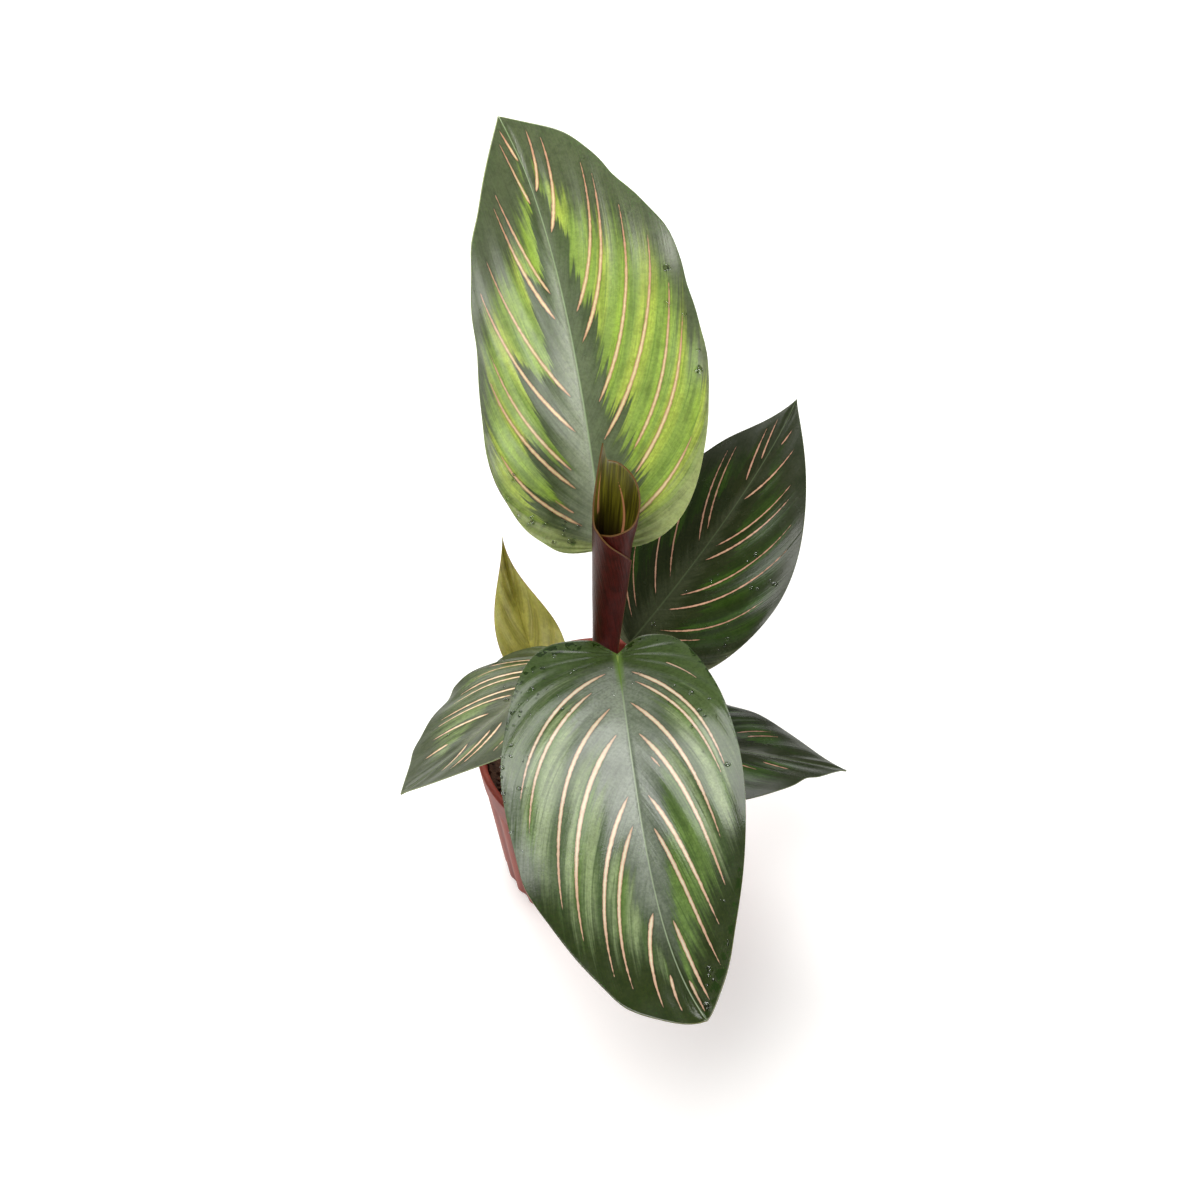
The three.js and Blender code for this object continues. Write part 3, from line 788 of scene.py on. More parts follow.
class UpperFace:
    """The layers of a blade's upper face, from the ground colour up to the wet spots."""

    def __init__(self, finish: BladeFinish) -> None:
        """Read the places on the blade and the noises that the layers share."""
        p = Paint(f"{finish.name}_upper")
        self.paint, self.finish = p, finish
        self.reach, self.along, self.rim = (p.attribute(name) for name in ("reach", "along", "rim"))
        self.left_half = p.span(p.attribute("vein"), 1.4, 1.6)
        self.threads = p.veined(170, 2.4, 0.0, 3.0)
        self.bands = p.veined(44, 1.6, 5.0, 3.0)
        self.mottle = p.noise(p.place(), 260.0, 5.0, 0.65)
        self.patches = p.noise(p.place(), 80.0, 3.0, 0.5)
        teeth = p.veined(105, 3.0, 11.0)
        self.jag = p.times(p.minus(p.blend(teeth, 1.1, self.bands, 0.9), 1.0), 0.36)

    def ground(self) -> Socket:
        """Lay the green of the wedges, the silver along the midrib with painted sheen in its strength on
        each half, and the margin.
        """
        p, finish = self.paint, self.finish
        silver = p.fall(p.plus(self.reach, p.times(self.jag, 0.6)), 0.03, finish.silver_reach)
        # painted sheen: the silver is stronger on one half than the other, brighter on the half that faces
        # the light
        left_sheen_shift = p.times(self.left_half, finish.silver_sheen_left - finish.silver_sheen_right)
        strength = p.plus(finish.silver_sheen_right, left_sheen_shift)
        colour = p.mix(p.times(silver, strength), finish.wedge, finish.silver)
        return p.mix(p.fall(p.attribute("outer"), -0.1, 0.22), colour, finish.margin)

    def paint_margin_sheen(self, colour: Socket) -> Socket:
        """Lay painted sheen, in the silver colour, over the right half's margin, halfway along the blade."""
        p, finish = self.paint, self.finish
        halfway = p.times(p.span(self.along, 0.28, 0.42), p.fall(self.along, 0.55, 0.68))
        right_half = p.minus(1.0, self.left_half)
        outside = p.times(p.span(self.reach, 0.55, 0.8), p.fall(self.jag, -0.02, 0.1, finish.margin_sheen))
        return p.mix(p.times(halfway, right_half, outside), colour, finish.silver)

    def light_zone(self, colour: Socket) -> Socket:
        """Lay the light zone with its three tones, its darker streaks and its jagged edges."""
        p, finish = self.paint, self.finish
        shift = p.plus(p.attribute("phase"), p.times(p.minus(self.bands, 0.5), 0.5))
        tone = p.mix(p.span(shift, 0.08, 0.36), finish.near, finish.middle)
        tone = p.mix(p.span(shift, 0.5, 0.82), tone, finish.far)
        tone = p.mix(p.span(self.bands, 0.5, 0.66, 0.5 * finish.contrast), tone, finish.deep)
        tone = p.mix(p.span(self.threads, 0.5, 0.68, 0.6 * finish.contrast), tone, finish.deep)
        inner = p.plus(p.attribute("inner"), self.jag)
        outer = p.plus(p.attribute("outer"), p.times(self.jag, 0.9))
        light = p.times(p.span(inner, -0.4 * finish.edge, finish.edge), p.span(outer, -0.08, 0.16))
        return p.mix(light, colour, tone)

    def base(self, colour: Socket) -> Socket:
        """Lay the paler green round the stalk."""
        p, finish = self.paint, self.finish
        loose = p.times(p.minus(p.plus(self.patches, self.bands), 1.0), 0.22)
        vein = p.plus(p.attribute("own_vein"), loose)
        return p.mix(p.fall(vein, finish.base_vein - 0.16, finish.base_vein), colour, finish.base)

    def worn(self, colour: Socket, darker: Socket) -> Socket:
        """Darken the blade in threads, in patches and in a fine grain."""
        p = self.paint
        grain = p.noise(p.place(), 1100.0, 3.0, 0.6)
        shade = p.blend(self.threads, 0.45, self.mottle, 0.55)
        colour = p.mix(p.fall(shade, 0.36, 0.54, 0.55), colour, darker)
        colour = p.mix(p.span(self.patches, 0.48, 0.7, 0.35), colour, darker)
        return p.mix(p.fall(grain, 0.36, 0.6, self.finish.grain), colour, darker)

    def striped(self, colour: Socket, darker: Socket) -> Socket:
        """Lay the pinstripes: creamy in the middle, pink at their sides and ends, with a dark outline."""
        p, finish = self.paint, self.finish
        wobble = p.times(p.minus(p.noise(p.place(), 700.0, 3.0), 0.5), 0.45 * MM)
        gap = p.plus(p.attribute("stripe"), wobble)
        ends = p.span(p.math("ABSOLUTE", p.minus(self.reach, 0.4)), 0.2, 0.42, 0.8)
        stripe = p.mix(p.fall(gap, -0.42 * MM, -0.12 * MM), finish.pink, finish.cream)
        stripe = p.mix(ends, stripe, finish.pink)
        stripe = p.mix(p.span(self.mottle, 0.5, 0.7, 0.35), stripe, finish.pink)
        colour = p.mix(p.fall(gap, 0.05 * MM, 0.7 * MM, 0.6), colour, darker)
        return p.mix(p.fall(gap, -0.1 * MM, 0.06 * MM, finish.stripe_share), colour, stripe)

    def ribbed(self, colour: Socket) -> Socket:
        """Lay the midrib, with its own colour next to the stalk where it has one, and the very edge."""
        p, finish = self.paint, self.finish
        away, rib, width = p.attribute("rib"), finish.rib, finish.rib_width * MM
        if finish.rib_base is not None:
            near_stalk = p.times(p.fall(self.along, 0.05, 0.17), p.fall(away, 0.4 * MM, 2.2 * MM, 0.85))
            colour = p.mix(near_stalk, colour, finish.rib_base)
            rib = p.mix(p.fall(self.along, 0.1, 0.2), finish.rib, finish.rib_base)
        colour = p.mix(p.fall(away, width * 0.4, width * 1.3, 0.8), colour, rib)
        return p.mix(p.fall(self.rim, 0.1 * MM, 0.35 * MM, 0.7), colour, finish.rim)

    def wet_spots(self) -> Socket:
        """Scatter wet spots along the edge, in a broad band by the stalk and a narrow one on the left."""
        p = self.paint
        spots = p.span(p.noise(p.place(), 340.0, 2.0), 0.548, 0.563, self.finish.wet)
        inside = p.span(self.rim, 0.3 * MM, 2.2 * MM)
        broad = p.times(p.fall(self.rim, 9 * MM, 16 * MM), p.fall(self.along, 0.3, 0.5))
        narrow = p.times(p.fall(self.rim, 3 * MM, 5 * MM), self.left_half)
        return p.times(spots, inside, p.math("MAXIMUM", broad, narrow))

    def build(self) -> Material:
        """Lay the layers one over another, with their relief and gloss."""
        p, finish = self.paint, self.finish
        colour = self.ground()
        # painted sheen over the right half's margin
        if finish.margin_sheen:
            colour = self.paint_margin_sheen(colour)
        colour = self.base(self.light_zone(colour))
        darker = p.mix(0.55, colour, DEEP_SHADE)
        colour = self.ribbed(self.striped(self.worn(colour, darker), darker))
        wet = self.wet_spots()
        lines = p.bump(p.veined(230, 1.0, 9.0, 1.0), 0.04 * MM)
        rough = p.plus(p.times(p.plus(self.mottle, self.patches), 0.16), finish.gloss - 0.16)
        p.set(Base_Color=p.mix(wet, colour, WET_GREEN), Roughness=p.minus(rough, p.times(wet, 0.15)))
        p.set(Normal=p.bump(p.cells(p.place(), 1700.0), 0.015 * MM, lines), Specular_IOR_Level=finish.shine)
        p.scatter(finish.glow, LEAF_SCATTER, 1 * MM)
        return p.material


@dataclass(frozen=True)
class LeafBlade:
    """One grown blade: a thin sheet meshed along its veins, with its markings on the mesh.

    thick is the sheet's thickness and rim_thick that of its edge. rib is how far the midrib stands out
    underneath and groove how deep it lies above, each with its spread, pleat is the height of the pleats
    and rows how many veins the mesh follows besides the stripes'. Those lie at least vein_gap apart, and a
    stripe is measured from as far as stripe_reach, both in veins.
    """

    form: LeafForm
    marks: Markings
    finish: BladeFinish
    slot: Slot
    thick: float = 0.5 * MM
    rim_thick: float = 0.26 * MM
    rib: float = 1.1 * MM
    rib_spread: float = 0.9 * MM
    groove: float = 0.3 * MM
    groove_spread: float = 0.6 * MM
    pleat: float = 0.26 * MM
    rows: int = 96

    vein_gap: ClassVar[float] = 0.0012
    stripe_reach: ClassVar[float] = 0.06

    def reaches(self) -> Array:
        """Give the grid's places along a vein, close together at the midrib and at the edge."""
        near = [0, 0.004, 0.009, 0.015, 0.022, 0.03, 0.04, 0.052, 0.066, 0.082]
        return np.array([*near, *np.linspace(0.1, 0.94, 36), 0.955, 0.97, 0.982, 0.991, 1.0])

    def vein_spacing(self, vein: float) -> float:
        """Measure how far apart neighbouring veins run halfway out, in metres for a step of 1."""
        step = 0.01
        place, out = self.form.vein_point(np.array([vein, vein + step]), np.full(2, 0.5), Hand.RIGHT)
        ahead, across = np.diff(place)[0] * self.form.length, np.diff(out)[0] * self.form.half_width
        return math.hypot(ahead, across) / step

    def veins(self) -> Array:
        """Give the grid's veins, with extra ones beside and on every stripe."""
        even = 1 - (1 - np.linspace(0, 1, self.rows)) ** self.form.row_power
        firm = [stripe.vein for hand in Hand for stripe in self.marks.of(hand)]
        beside = [
            vein + offset * MM / self.vein_spacing(vein)
            for vein in firm for offset in (-0.95, -0.6, -0.3, 0.3, 0.6, 0.95)
        ]
        kept = sorted(firm)
        for vein in sorted([*beside, *even[1:-1]]):
            if 0 < vein < 1 and min(abs(np.array(kept) - vein)) > self.vein_gap:
                kept.append(vein)
        return np.array([0.0, *sorted(kept), 1.0])

    def chart(self, vein: Array, reach: Array, hand: Hand) -> tuple[Array, Array, Array]:
        """Give the leaned vein, and the shares of the length and the half width, on one half."""
        leaned = np.clip(vein + self.marks.lean(vein, hand) * reach, 0, 1)
        place, out = self.form.vein_point(leaned, reach, hand)
        return leaned, place, out

    def stripe_gap(self, vein: Array, reach: Array, flat: Array, hand: Hand) -> Array:
        """Measure how far each place lies outside the nearest stripe.

        Args:
            vein: The grid's veins, one for each place.
            reach: How far along its vein each place lies.
            flat: The places on the blade laid flat, in metres.
            hand: The half of the blade.

        Returns:
            The distances, below 0 inside a stripe.
        """
        gap = np.full(vein.shape, FAR_OFF)
        share = np.linspace(0, 1, 48)
        taper = np.minimum(share / 0.14, 1) ** 0.6 * (1 - share**2.4) ** 0.7
        for stripe in self.marks.of(hand):
            along = stripe.start + (stripe.end - stripe.start) * share
            _, place, out = self.chart(np.full_like(share, stripe.vein), along, hand)
            line = np.stack([place * self.form.length, out * self.form.width(hand)], axis=-1)
            half = stripe.width * MM / 2 * taper
            close = np.abs(vein - stripe.vein) < self.stripe_reach
            start, end = line[:-1], line[1:]
            course = end - start
            t = ((flat[close][:, None] - start) * course).sum(-1) / (course**2).sum(-1)
            t = np.clip(t, 0, 1)
            foot = start + t[..., None] * course
            away = np.linalg.norm(flat[close][:, None] - foot, axis=-1)
            beyond = away - (half[:-1] + (half[1:] - half[:-1]) * t)
            gap[close] = np.minimum(gap[close], beyond.min(axis=1))
        return gap

    def skins(self, vein: Array, reach: Array, hand: Hand) -> tuple[Array, Array, dict[str, Array]]:
        """Work out both faces of one half.

        Args:
            vein: The grid's veins.
            reach: The grid's places along them.
            hand: The half.

        Returns:
            The upper and lower points, and the named numbers for the material.
        """
        form = self.form
        vein, reach = np.meshgrid(vein, reach, indexing="ij")
        leaned, place, out = self.chart(vein, reach, hand)
        middle = form.surface(place, out, hand)
        normal = form.normal(place, out, hand)
        beside = np.full_like(out, 0.01)
        seam = unit(form.normal(place, beside, Hand.RIGHT) + form.normal(place, beside, Hand.LEFT))
        across = out * form.width(hand)
        blend = np.exp(-((across / (1.2 * MM)) ** 2))[..., None]
        normal = unit(normal * (1 - blend) + seam * blend)
        thin = self.rim_thick + (self.thick - self.rim_thick) * np.minimum((1 - reach) / 0.12, 1)
        waist = 1 - 0.75 * np.clip(place, 0, 1)
        swell = self.pleat * form.pleat(leaned, reach)
        groove = self.groove * np.exp(-((across / self.groove_spread) ** 2)) * (0.4 + 0.6 * waist)
        ridge = self.rib * np.exp(-((across / (self.rib_spread * (0.5 + 0.5 * waist))) ** 2)) * waist
        upper = middle + normal * (thin / 2 + swell - groove)[..., None]
        lower = middle - normal * (thin / 2 - swell + ridge)[..., None]
        flat = np.stack([place * form.length, across], axis=-1)
        values = {
            "vein": leaned + (0 if hand is Hand.RIGHT else 2),
            "own_vein": vein,
            "reach": reach,
            "along": place,
            "stripe": self.stripe_gap(vein, reach, flat, hand),
            "phase": self.marks.phase(vein, hand),
            "inner": self.marks.inner_edge(vein, reach, hand),
            "outer": self.marks.outer_edge(vein, reach),
            "rib": across / (0.35 + 0.65 * waist),
            "rim": np.linalg.norm(upper - upper[:, -1:], axis=-1),
        }
        return upper, lower, values

    def build(self) -> Piece:
        """Mesh the blade, dress it and put it on the frame."""
        draft = MeshDraft()
        veins, reaches = self.veins(), self.reaches()
        shared: dict[Skin, Array] = {}
        for hand in Hand:
            upper, lower, values = self.skins(veins, reaches, hand)
            grids = {}
            for skin, points in ((Skin.UPPER, upper), (Skin.UNDER, lower)):
                ids = draft.add_points(points, **values)
                spine = shared.setdefault(skin, ids[:, 0].copy())
                ids[:, 0] = spine
                ids[0], ids[-1] = spine[0], spine[-1]
                draft.add_grid(ids, skin.value, flip=(hand is Hand.RIGHT) == (skin is Skin.UNDER))
                grids[skin] = ids
            rim = np.stack([grids[Skin.UPPER][:, -1], grids[Skin.UNDER][:, -1]], axis=1)
            draft.add_grid(rim, Skin.UPPER.value, flip=hand is Hand.LEFT)
        piece = draft.build(f"{self.form.name}_blade", self.finish.upper(), self.finish.lower())
        return settle(piece, self.slot, f"{self.form.name}_leaf")


@dataclass(frozen=True)
class StalkFinish:
    """The colours of a stalk, from its sheathed foot to the knee under the blade."""

    name: str
    foot: Colour
    shaft: Colour
    knee: Colour

    def build(self) -> Material:
        """Paint the stalk."""
        p = Paint(self.name)
        along = p.attribute("along")
        streaks = p.streaks(p.attribute("around"), 26, along, 5)
        mottle = p.noise(p.place(), 420.0, 3.0)
        colour = p.mix(p.span(p.plus(along, p.times(streaks, 0.3)), 0.3, 0.75), self.foot, self.shaft)
        colour = p.mix(p.span(along, 0.84, 0.9), colour, self.knee)
        darker = p.mix(0.5, colour, (0.01, 0.01, 0.0, 1.0))
        colour = p.mix(p.span(streaks, 0.5, 0.75, 0.4), colour, darker)
        relief = p.bump(p.plus(streaks, p.times(mottle, 0.5)), 0.2 * MM)
        p.set(Base_Color=colour, Normal=relief, Coat_Weight=0.08, Coat_Roughness=0.3)
        p.set(Roughness=p.plus(p.times(mottle, 0.2), 0.36))
        return p.material


@dataclass(frozen=True)
class Stalk:
    """The stalk of one blade: a sheathed foot in the soil, a round shaft and a knee under the blade.

    foot is its place seen from above and collar the height where it leaves the soil, with root_height that
    of its buried end. lean is how far it leans the midrib's way as it arrives, end_depth below the blade.
    pieces counts the steps of its curve, and run_out is the share of the blade's length that it runs on
    under the midrib, at tail_depth. tip is the radius that it ends with.
    """

    form: LeafForm
    foot: tuple[float, float]
    foot_radius: float
    neck_radius: float
    lean: float
    finish: StalkFinish
    slot: Slot
    root_height: float = 45 * MM
    collar: float = 59.2 * MM
    sides: int = 28
    pieces: int = 130
    run_out: float = 0.12
    end_depth: float = 0.8 * MM
    tail_depth: float = 0.95 * MM
    tip: float = 0.3 * MM

    def path(self) -> tuple[Array, Array]:
        """Lay the stalk's line from the soil to the blade and on under the midrib.

        Returns:
            The points, and for each its share of the way to the blade, which goes past 1 under it.
        """
        base, ahead, _, face = (v[0] for v in self.form.midrib(np.array([0.0])))
        arrival = unit(np.array([0, 0, 1.0]) * (1 - self.lean) + ahead * self.lean)
        end = base - face * self.end_depth - arrival * 1.0 * MM
        start = np.array([*self.foot, self.root_height])
        collar = np.array([*self.foot, self.collar])
        rise = end[2] - collar[2]
        bends = [collar, collar + [0, 0, rise * 0.4], end - arrival * rise * 0.3, end]
        weights = cubic_weights(np.linspace(0, 1, self.pieces)[1:, None])
        curve = sum(w * b for w, b in zip(weights, bends))
        straight = start + (collar - start) * np.linspace(0, 1, 8)[:, None]
        under = np.linspace(0.008, self.run_out, 14)
        point, _, _, faces = self.form.midrib(under)
        tail = point - faces * (self.tail_depth * (1 - under / self.run_out * 0.45))[:, None]
        points = np.concatenate([straight, curve, tail])
        strides = np.linalg.norm(np.diff(points, axis=0), axis=1)
        travelled = np.concatenate([[0], np.cumsum(strides)])
        return points, travelled / travelled[len(straight) + len(curve) - 1]

    def radius(self, along: Array) -> Array:
        """Give the stalk's radius: wide at the foot, a knee at the blade and a point at the end."""
        foot, neck = self.foot_radius, self.neck_radius
        curve = (
            (0, foot), (0.3, foot), (0.7, neck * 0.92), (0.85, neck), (0.93, neck * 1.14),
            (1.0, neck * 0.95), (1.02, neck * 0.85), (along[-1], self.tip),
        )
        return smooth_value(curve, along)

    def section(self, off: Array, along: Array) -> Array:
        """Shape the round section: two flanges and a groove on the sheathed foot, and nine fine ribs.

        Args:
            off: The angles of the sides from the groove, in radians.
            along: The rings' shares of the way to the blade.

        Returns:
            What the radius is multiplied with, rings by sides.
        """
        flanges = np.exp(-(((off - 0.75) / 0.28) ** 2)) * 0.2 - np.exp(-((off / 0.4) ** 2)) * 0.22
        sheath = 1 - ease(along, 0.38, 0.6)
        return 1 + flanges * sheath[:, None] + 0.015 * np.sin(9 * full_turn(self.sides))

    def build(self) -> Piece:
        """Mesh the stalk, dress it and put it on the frame."""
        points, along = self.path()
        ahead = unit(np.gradient(points, axis=0))
        inwards = unit(-points[0] * [1, 1, 0] + 1e-6)
        inwards = unit(inwards - ahead * (ahead * inwards).sum(-1, keepdims=True))
        sideways = np.cross(ahead, inwards)
        turn = full_turn(self.sides)
        off = np.abs((turn + np.pi) % (2 * np.pi) - np.pi)
        ring = inwards[:, None] * np.cos(turn)[:, None] + sideways[:, None] * np.sin(turn)[:, None]
        skin = points[:, None] + ring * (self.radius(along)[:, None] * self.section(off, along))[..., None]
        draft = MeshDraft()
        ids = draft.add_points(skin, along=along[:, None], around=off / np.pi)
        draft.add_grid(ids, closed=True)
        for end, flip in ((0, True), (-1, False)):
            draft.add_fan(ids[end], points[end], flip, along=along[end], around=0.5)
        piece = draft.build(f"{self.form.name}_petiole", self.finish.build())
        return settle(piece, self.slot, f"{self.form.name}_stalk")


@dataclass(frozen=True)
class RolledFinish:
    """The wine-red back and the olive inside of the rolled leaf, with its first stripes.

    back_deep and inside_deep lie in the streaks, edge is the lip all round the sheet and bottom the
    painted shade deep in the mouth.
    """

    name: str = "rolled"
    back: Colour = rgb(80, 24, 20)
    back_deep: Colour = rgb(48, 11, 9)
    inside: Colour = rgb(118, 114, 30)
    inside_deep: Colour = rgb(64, 60, 13)
    stripe: Colour = rgb(205, 140, 100)
    edge: Colour = rgb(112, 84, 42)
    # painted shade deep inside the roll
    bottom: Colour = rgb(36, 22, 8)

    def outer(self) -> Material:
        """Paint the back of the blade, which is the outside of the roll."""
        p = Paint(f"{self.name}_back")
        height = p.attribute("height")
        slant = p.plus(p.attribute("turn"), p.times(height, 0.5))
        lines = p.streaks(slant, 60, height, 5)
        mottle = p.noise(p.place(), 300.0, 4.0, 0.6)
        colour = p.mix(p.span(p.blend(lines, 0.7, mottle, 0.5), 0.4, 0.8), self.back_deep, self.back)
        colour = p.mix(p.fall(p.attribute("lip"), 0.1 * MM, 0.4 * MM, 0.7), colour, self.edge)
        p.set(Base_Color=colour, Normal=p.bump(lines, 0.2 * MM), Specular_IOR_Level=0.25)
        p.set(Roughness=p.plus(p.times(mottle, 0.2), 0.3))
        return p.material

    def inner(self) -> Material:
        """Paint the upper face of the blade, which is the inside of the roll."""
        p = Paint(f"{self.name}_face")
        height = p.attribute("height")
        lines = p.streaks(p.attribute("turn"), 45, height, 4)
        colour = p.mix(p.span(lines, 0.35, 0.7), self.inside_deep, self.inside)
        # painted shade: the inside darkens towards the foot of the roll, deep in the mouth
        colour = p.mix(p.fall(height, 0.68, 0.84, 0.85), colour, self.bottom)
        colour = p.mix(p.fall(p.attribute("stripe"), -0.1 * MM, 0.1 * MM), colour, self.stripe)
        colour = p.mix(p.fall(p.attribute("lip"), 0.2 * MM, 0.6 * MM, 0.5), colour, self.edge)
        p.set(Base_Color=colour, Normal=p.bump(lines, 0.3 * MM), Coat_Weight=0.2, Coat_Roughness=0.2)
        p.set(Roughness=0.32)
        return p.material


class RollStripe(NamedTuple):
    """A stripe inside the roll.

    angle is its middle in degrees, bow how far its ends bend round, and start and end are shares of the
    sheet's height.
    """

    angle: float
    bow: float
    start: float
    end: float


@dataclass(frozen=True)
class RolledLeaf:
    """The newest leaf, a sheet wound a turn and a third, on the stalk that it grows from.

    The stalk leaves its foot upright, and the axis leans to top from the height axis_from. stalk gives the
    stalk's radius against the height, both in mm. The sheet starts at sheet_from. waist gives the solid's
    radius against the height, both in mm, slim how much slimmer the sheet is and turn_pitch how much wider
    it gets in a turn. tuck draws its lower end in, over tuck_height. mouth gives the height of the upper
    edge in mm against the angle round the axis, 0 along +X, and horn the angle, height and spread of the
    curled tip that stands up from it. flare opens the mouth towards +X between flare_from and flare_to.
    degree is the width of a degree of the sheet.
    """

    foot: tuple[float, float] = (-0.6 * MM, 8 * MM)
    top: Point = (4.7 * MM, 17 * MM, 171 * MM)
    axis_from: float = 61.4 * MM
    sheet_from: float = 82 * MM
    thick: float = 0.5 * MM
    slim: float = 0.35 * MM
    turn_pitch: float = 1.3 * MM
    tuck: float = 0.16
    tuck_height: float = 10 * MM
    waist: Pairs = (
        (45, 3), (58, 3.2), (82, 3.7), (100, 3.85), (116, 4.5), (128, 5.15), (142, 5.8), (156, 6.45),
        (165, 6.75), (195, 6.85),
    )
    mouth: Pairs = (
        (-160, 157), (-128, 159), (-90, 160.5), (-64, 161.5), (-31, 163), (-12, 165.5), (8, 168.5),
        (43, 173.5), (72, 176.5), (100, 178.5), (120, 179), (138, 179), (150, 176.5), (162, 171),
        (180, 166), (190, 163), (226, 160), (251, 157.5), (284, 154), (330, 147),
    )
    horn: Point = (138, 9, 11)
    flare: float = 0.9 * MM
    flare_from: float = 150 * MM
    flare_to: float = 162 * MM
    degree: float = 0.1 * MM
    stripes: tuple[RollStripe, ...] = (RollStripe(58, 30, 0.6, 0.93), RollStripe(146, -6, 0.75, 0.9))
    stalk: Pairs = ((45, 3.2), (60, 3.2), (70, 3.45), (78, 3.6), (84, 3.3), (95, 2.6), (104, 1.2))
    columns: int = 230
    rows: int = 90
    finish: RolledFinish = RolledFinish()
    stalk_finish: StalkFinish = StalkFinish(
        "rolled_stalk", rgb(70, 40, 30), rgb(78, 34, 28), rgb(78, 34, 28)
    )

    def axis(self, height: Array) -> Array:
        """Give the leaning axis at a height."""
        share = np.maximum(height - self.axis_from, 0) / (self.top[2] - self.axis_from)
        x = self.foot[0] + (self.top[0] - self.foot[0]) * share
        y = self.foot[1] + (self.top[1] - self.foot[1]) * share
        return np.stack([x, y, height], axis=-1)

    def wall(self, angle: Array, height: Array, inwards: float) -> Array:
        """Give the sheet at an angle in degrees and a height, inwards from its outer face."""
        waist = smooth_value(self.waist, height / MM) * MM
        radius = waist + self.turn_pitch * angle / 360 - self.slim - inwards
        tuck = 1 - self.tuck * (1 - ease(height, self.sheet_from, self.sheet_from + self.tuck_height))
        radians = np.radians(angle)
        opened = ease(height, self.flare_from, self.flare_to)
        radius = radius + self.flare * opened * np.maximum(np.cos(radians), 0) ** 2
        return self.axis(height) + circle(radians) * (radius * tuck)[..., None]

    def upper_edge(self, angle: Array) -> Array:
        """Give the height of the sheet's upper edge."""
        where, height, spread = self.horn
        off = np.abs(angle - where) / spread
        return (smooth_value(self.mouth, angle) + height * np.exp(-(off**1.4))) * MM

    def stripe_gap(self, turns: Array, shares: Array) -> Array:
        """Measure how far each place lies outside the nearest stripe.

        Args:
            turns: The places' angles in degrees.
            shares: Their shares of the sheet's height.

        Returns:
            The distances, below 0 inside a stripe.
        """
        gap = np.full(turns.shape, FAR_OFF)
        for centre, bow, start, end in self.stripes:
            along = np.clip((shares - start) / (end - start), 0, 1)
            half = 0.4 * MM * np.sin(np.pi * along) ** 0.5
            bowed = centre + bow * (2 * along - 1) ** 2
            gap = np.minimum(gap, np.abs(turns - bowed) * self.degree - half)
        return gap

    def build(self) -> list[Piece]:
        """Mesh the sheet and its stalk, dress them and put them on the frame."""
        first, last = self.mouth[0][0], self.mouth[-1][0]
        fine = np.linspace(self.horn[0] - 20, self.horn[0] + 20, 60)
        angle = np.unique(np.concatenate([np.linspace(first, last, self.columns), fine]))
        turns, shares = np.meshgrid(angle, np.linspace(0, 1, self.rows), indexing="ij")
        top = self.upper_edge(turns)
        height = self.sheet_from + (top - self.sheet_from) * shares
        values = {
            "turn": turns / 360,
            "height": shares,
            "lip": np.minimum(top - height, (last - turns) * self.degree),
            "stripe": self.stripe_gap(turns, shares),
        }
        draft = MeshDraft()
        outer, inner = (
            draft.add_points(self.wall(turns, height, inwards), **values) for inwards in (0.0, self.thick)
        )
        draft.add_grid(outer)
        draft.add_grid(inner, paint=1, flip=True)
        rims = ((np.s_[:, 0], True), (np.s_[:, -1], False), (np.s_[0], False), (np.s_[-1], True))
        for rim, flip in rims:
            draft.add_grid(np.stack([outer[rim], inner[rim]], axis=1), flip=flip)
        sheet = draft.build("rolled_sheet", self.finish.outer(), self.finish.inner())
        return [settle(sheet, Slot.ROLLED, "rolled_leaf"), self.build_stalk()]

    def build_stalk(self) -> Piece:
        """Mesh the stalk that the sheet is wound on."""
        height = np.concatenate([np.linspace(45, 78, 24), np.linspace(79, 104, 20)]) * MM
        radius = smooth_value(self.stalk, height / MM) * MM
        turn = full_turn(36)
        seam = np.exp(-(((turn - 4.2) / 0.16) ** 2)) * 0.12
        skin = self.axis(height)[:, None] + circle(turn) * (radius[:, None] * (1 - seam))[..., None]
        draft = MeshDraft()
        along = np.linspace(0, 0.8, len(height))[:, None]
        draft.add_grid(draft.add_points(skin, along=along, around=turn / (2 * np.pi)), closed=True)
        piece = draft.build("rolled_petiole", self.stalk_finish.build())
        return settle(piece, Slot.ROLLED)


@dataclass(frozen=True)
class PotFinish:
    """Dusty terracotta-pink moulded plastic, with soil stains and a painted highlight along the flutes'
    crests.
    """

    plain: Colour = rgb(142, 64, 52)
    deep: Colour = rgb(114, 48, 38)
    # dusty tone, and the painted highlight along the flutes' crests
    dust_and_highlight: Colour = rgb(166, 88, 70)
    stain: Colour = rgb(92, 54, 42)

    def build(self) -> Material:
        """Paint the pot."""
        p = Paint("pot_plastic")
        place = p.place()
        cloud = p.noise(place, 38.0, 4.0, 0.6)
        grain = p.noise(place, 900.0, 3.0, 0.6)
        colour = p.mix(p.span(cloud, 0.3, 0.7), self.deep, self.plain)
        # painted highlight: the flutes' crests are lighter, in the dust colour
        colour = p.mix(p.span(p.attribute("ridge"), 0.2, 1.0, 0.45), colour, self.dust_and_highlight)
        colour = p.mix(p.span(p.plus(cloud, p.times(grain, 0.5)), 0.8, 1.0, 0.4), colour, self.dust_and_highlight)
        colour = p.mix(p.span(p.noise(place, 160.0, 5.0, 0.7), 0.6, 0.72, 0.35), colour, self.stain)
        p.set(Base_Color=colour, Normal=p.bump(grain, 0.06 * MM))
        p.set(Roughness=p.plus(p.times(cloud, 0.2), 0.42), Specular_IOR_Level=0.2)
        p.scatter(0.05, (1.0, 0.4, 0.3), 0.8 * MM)
        return p.material


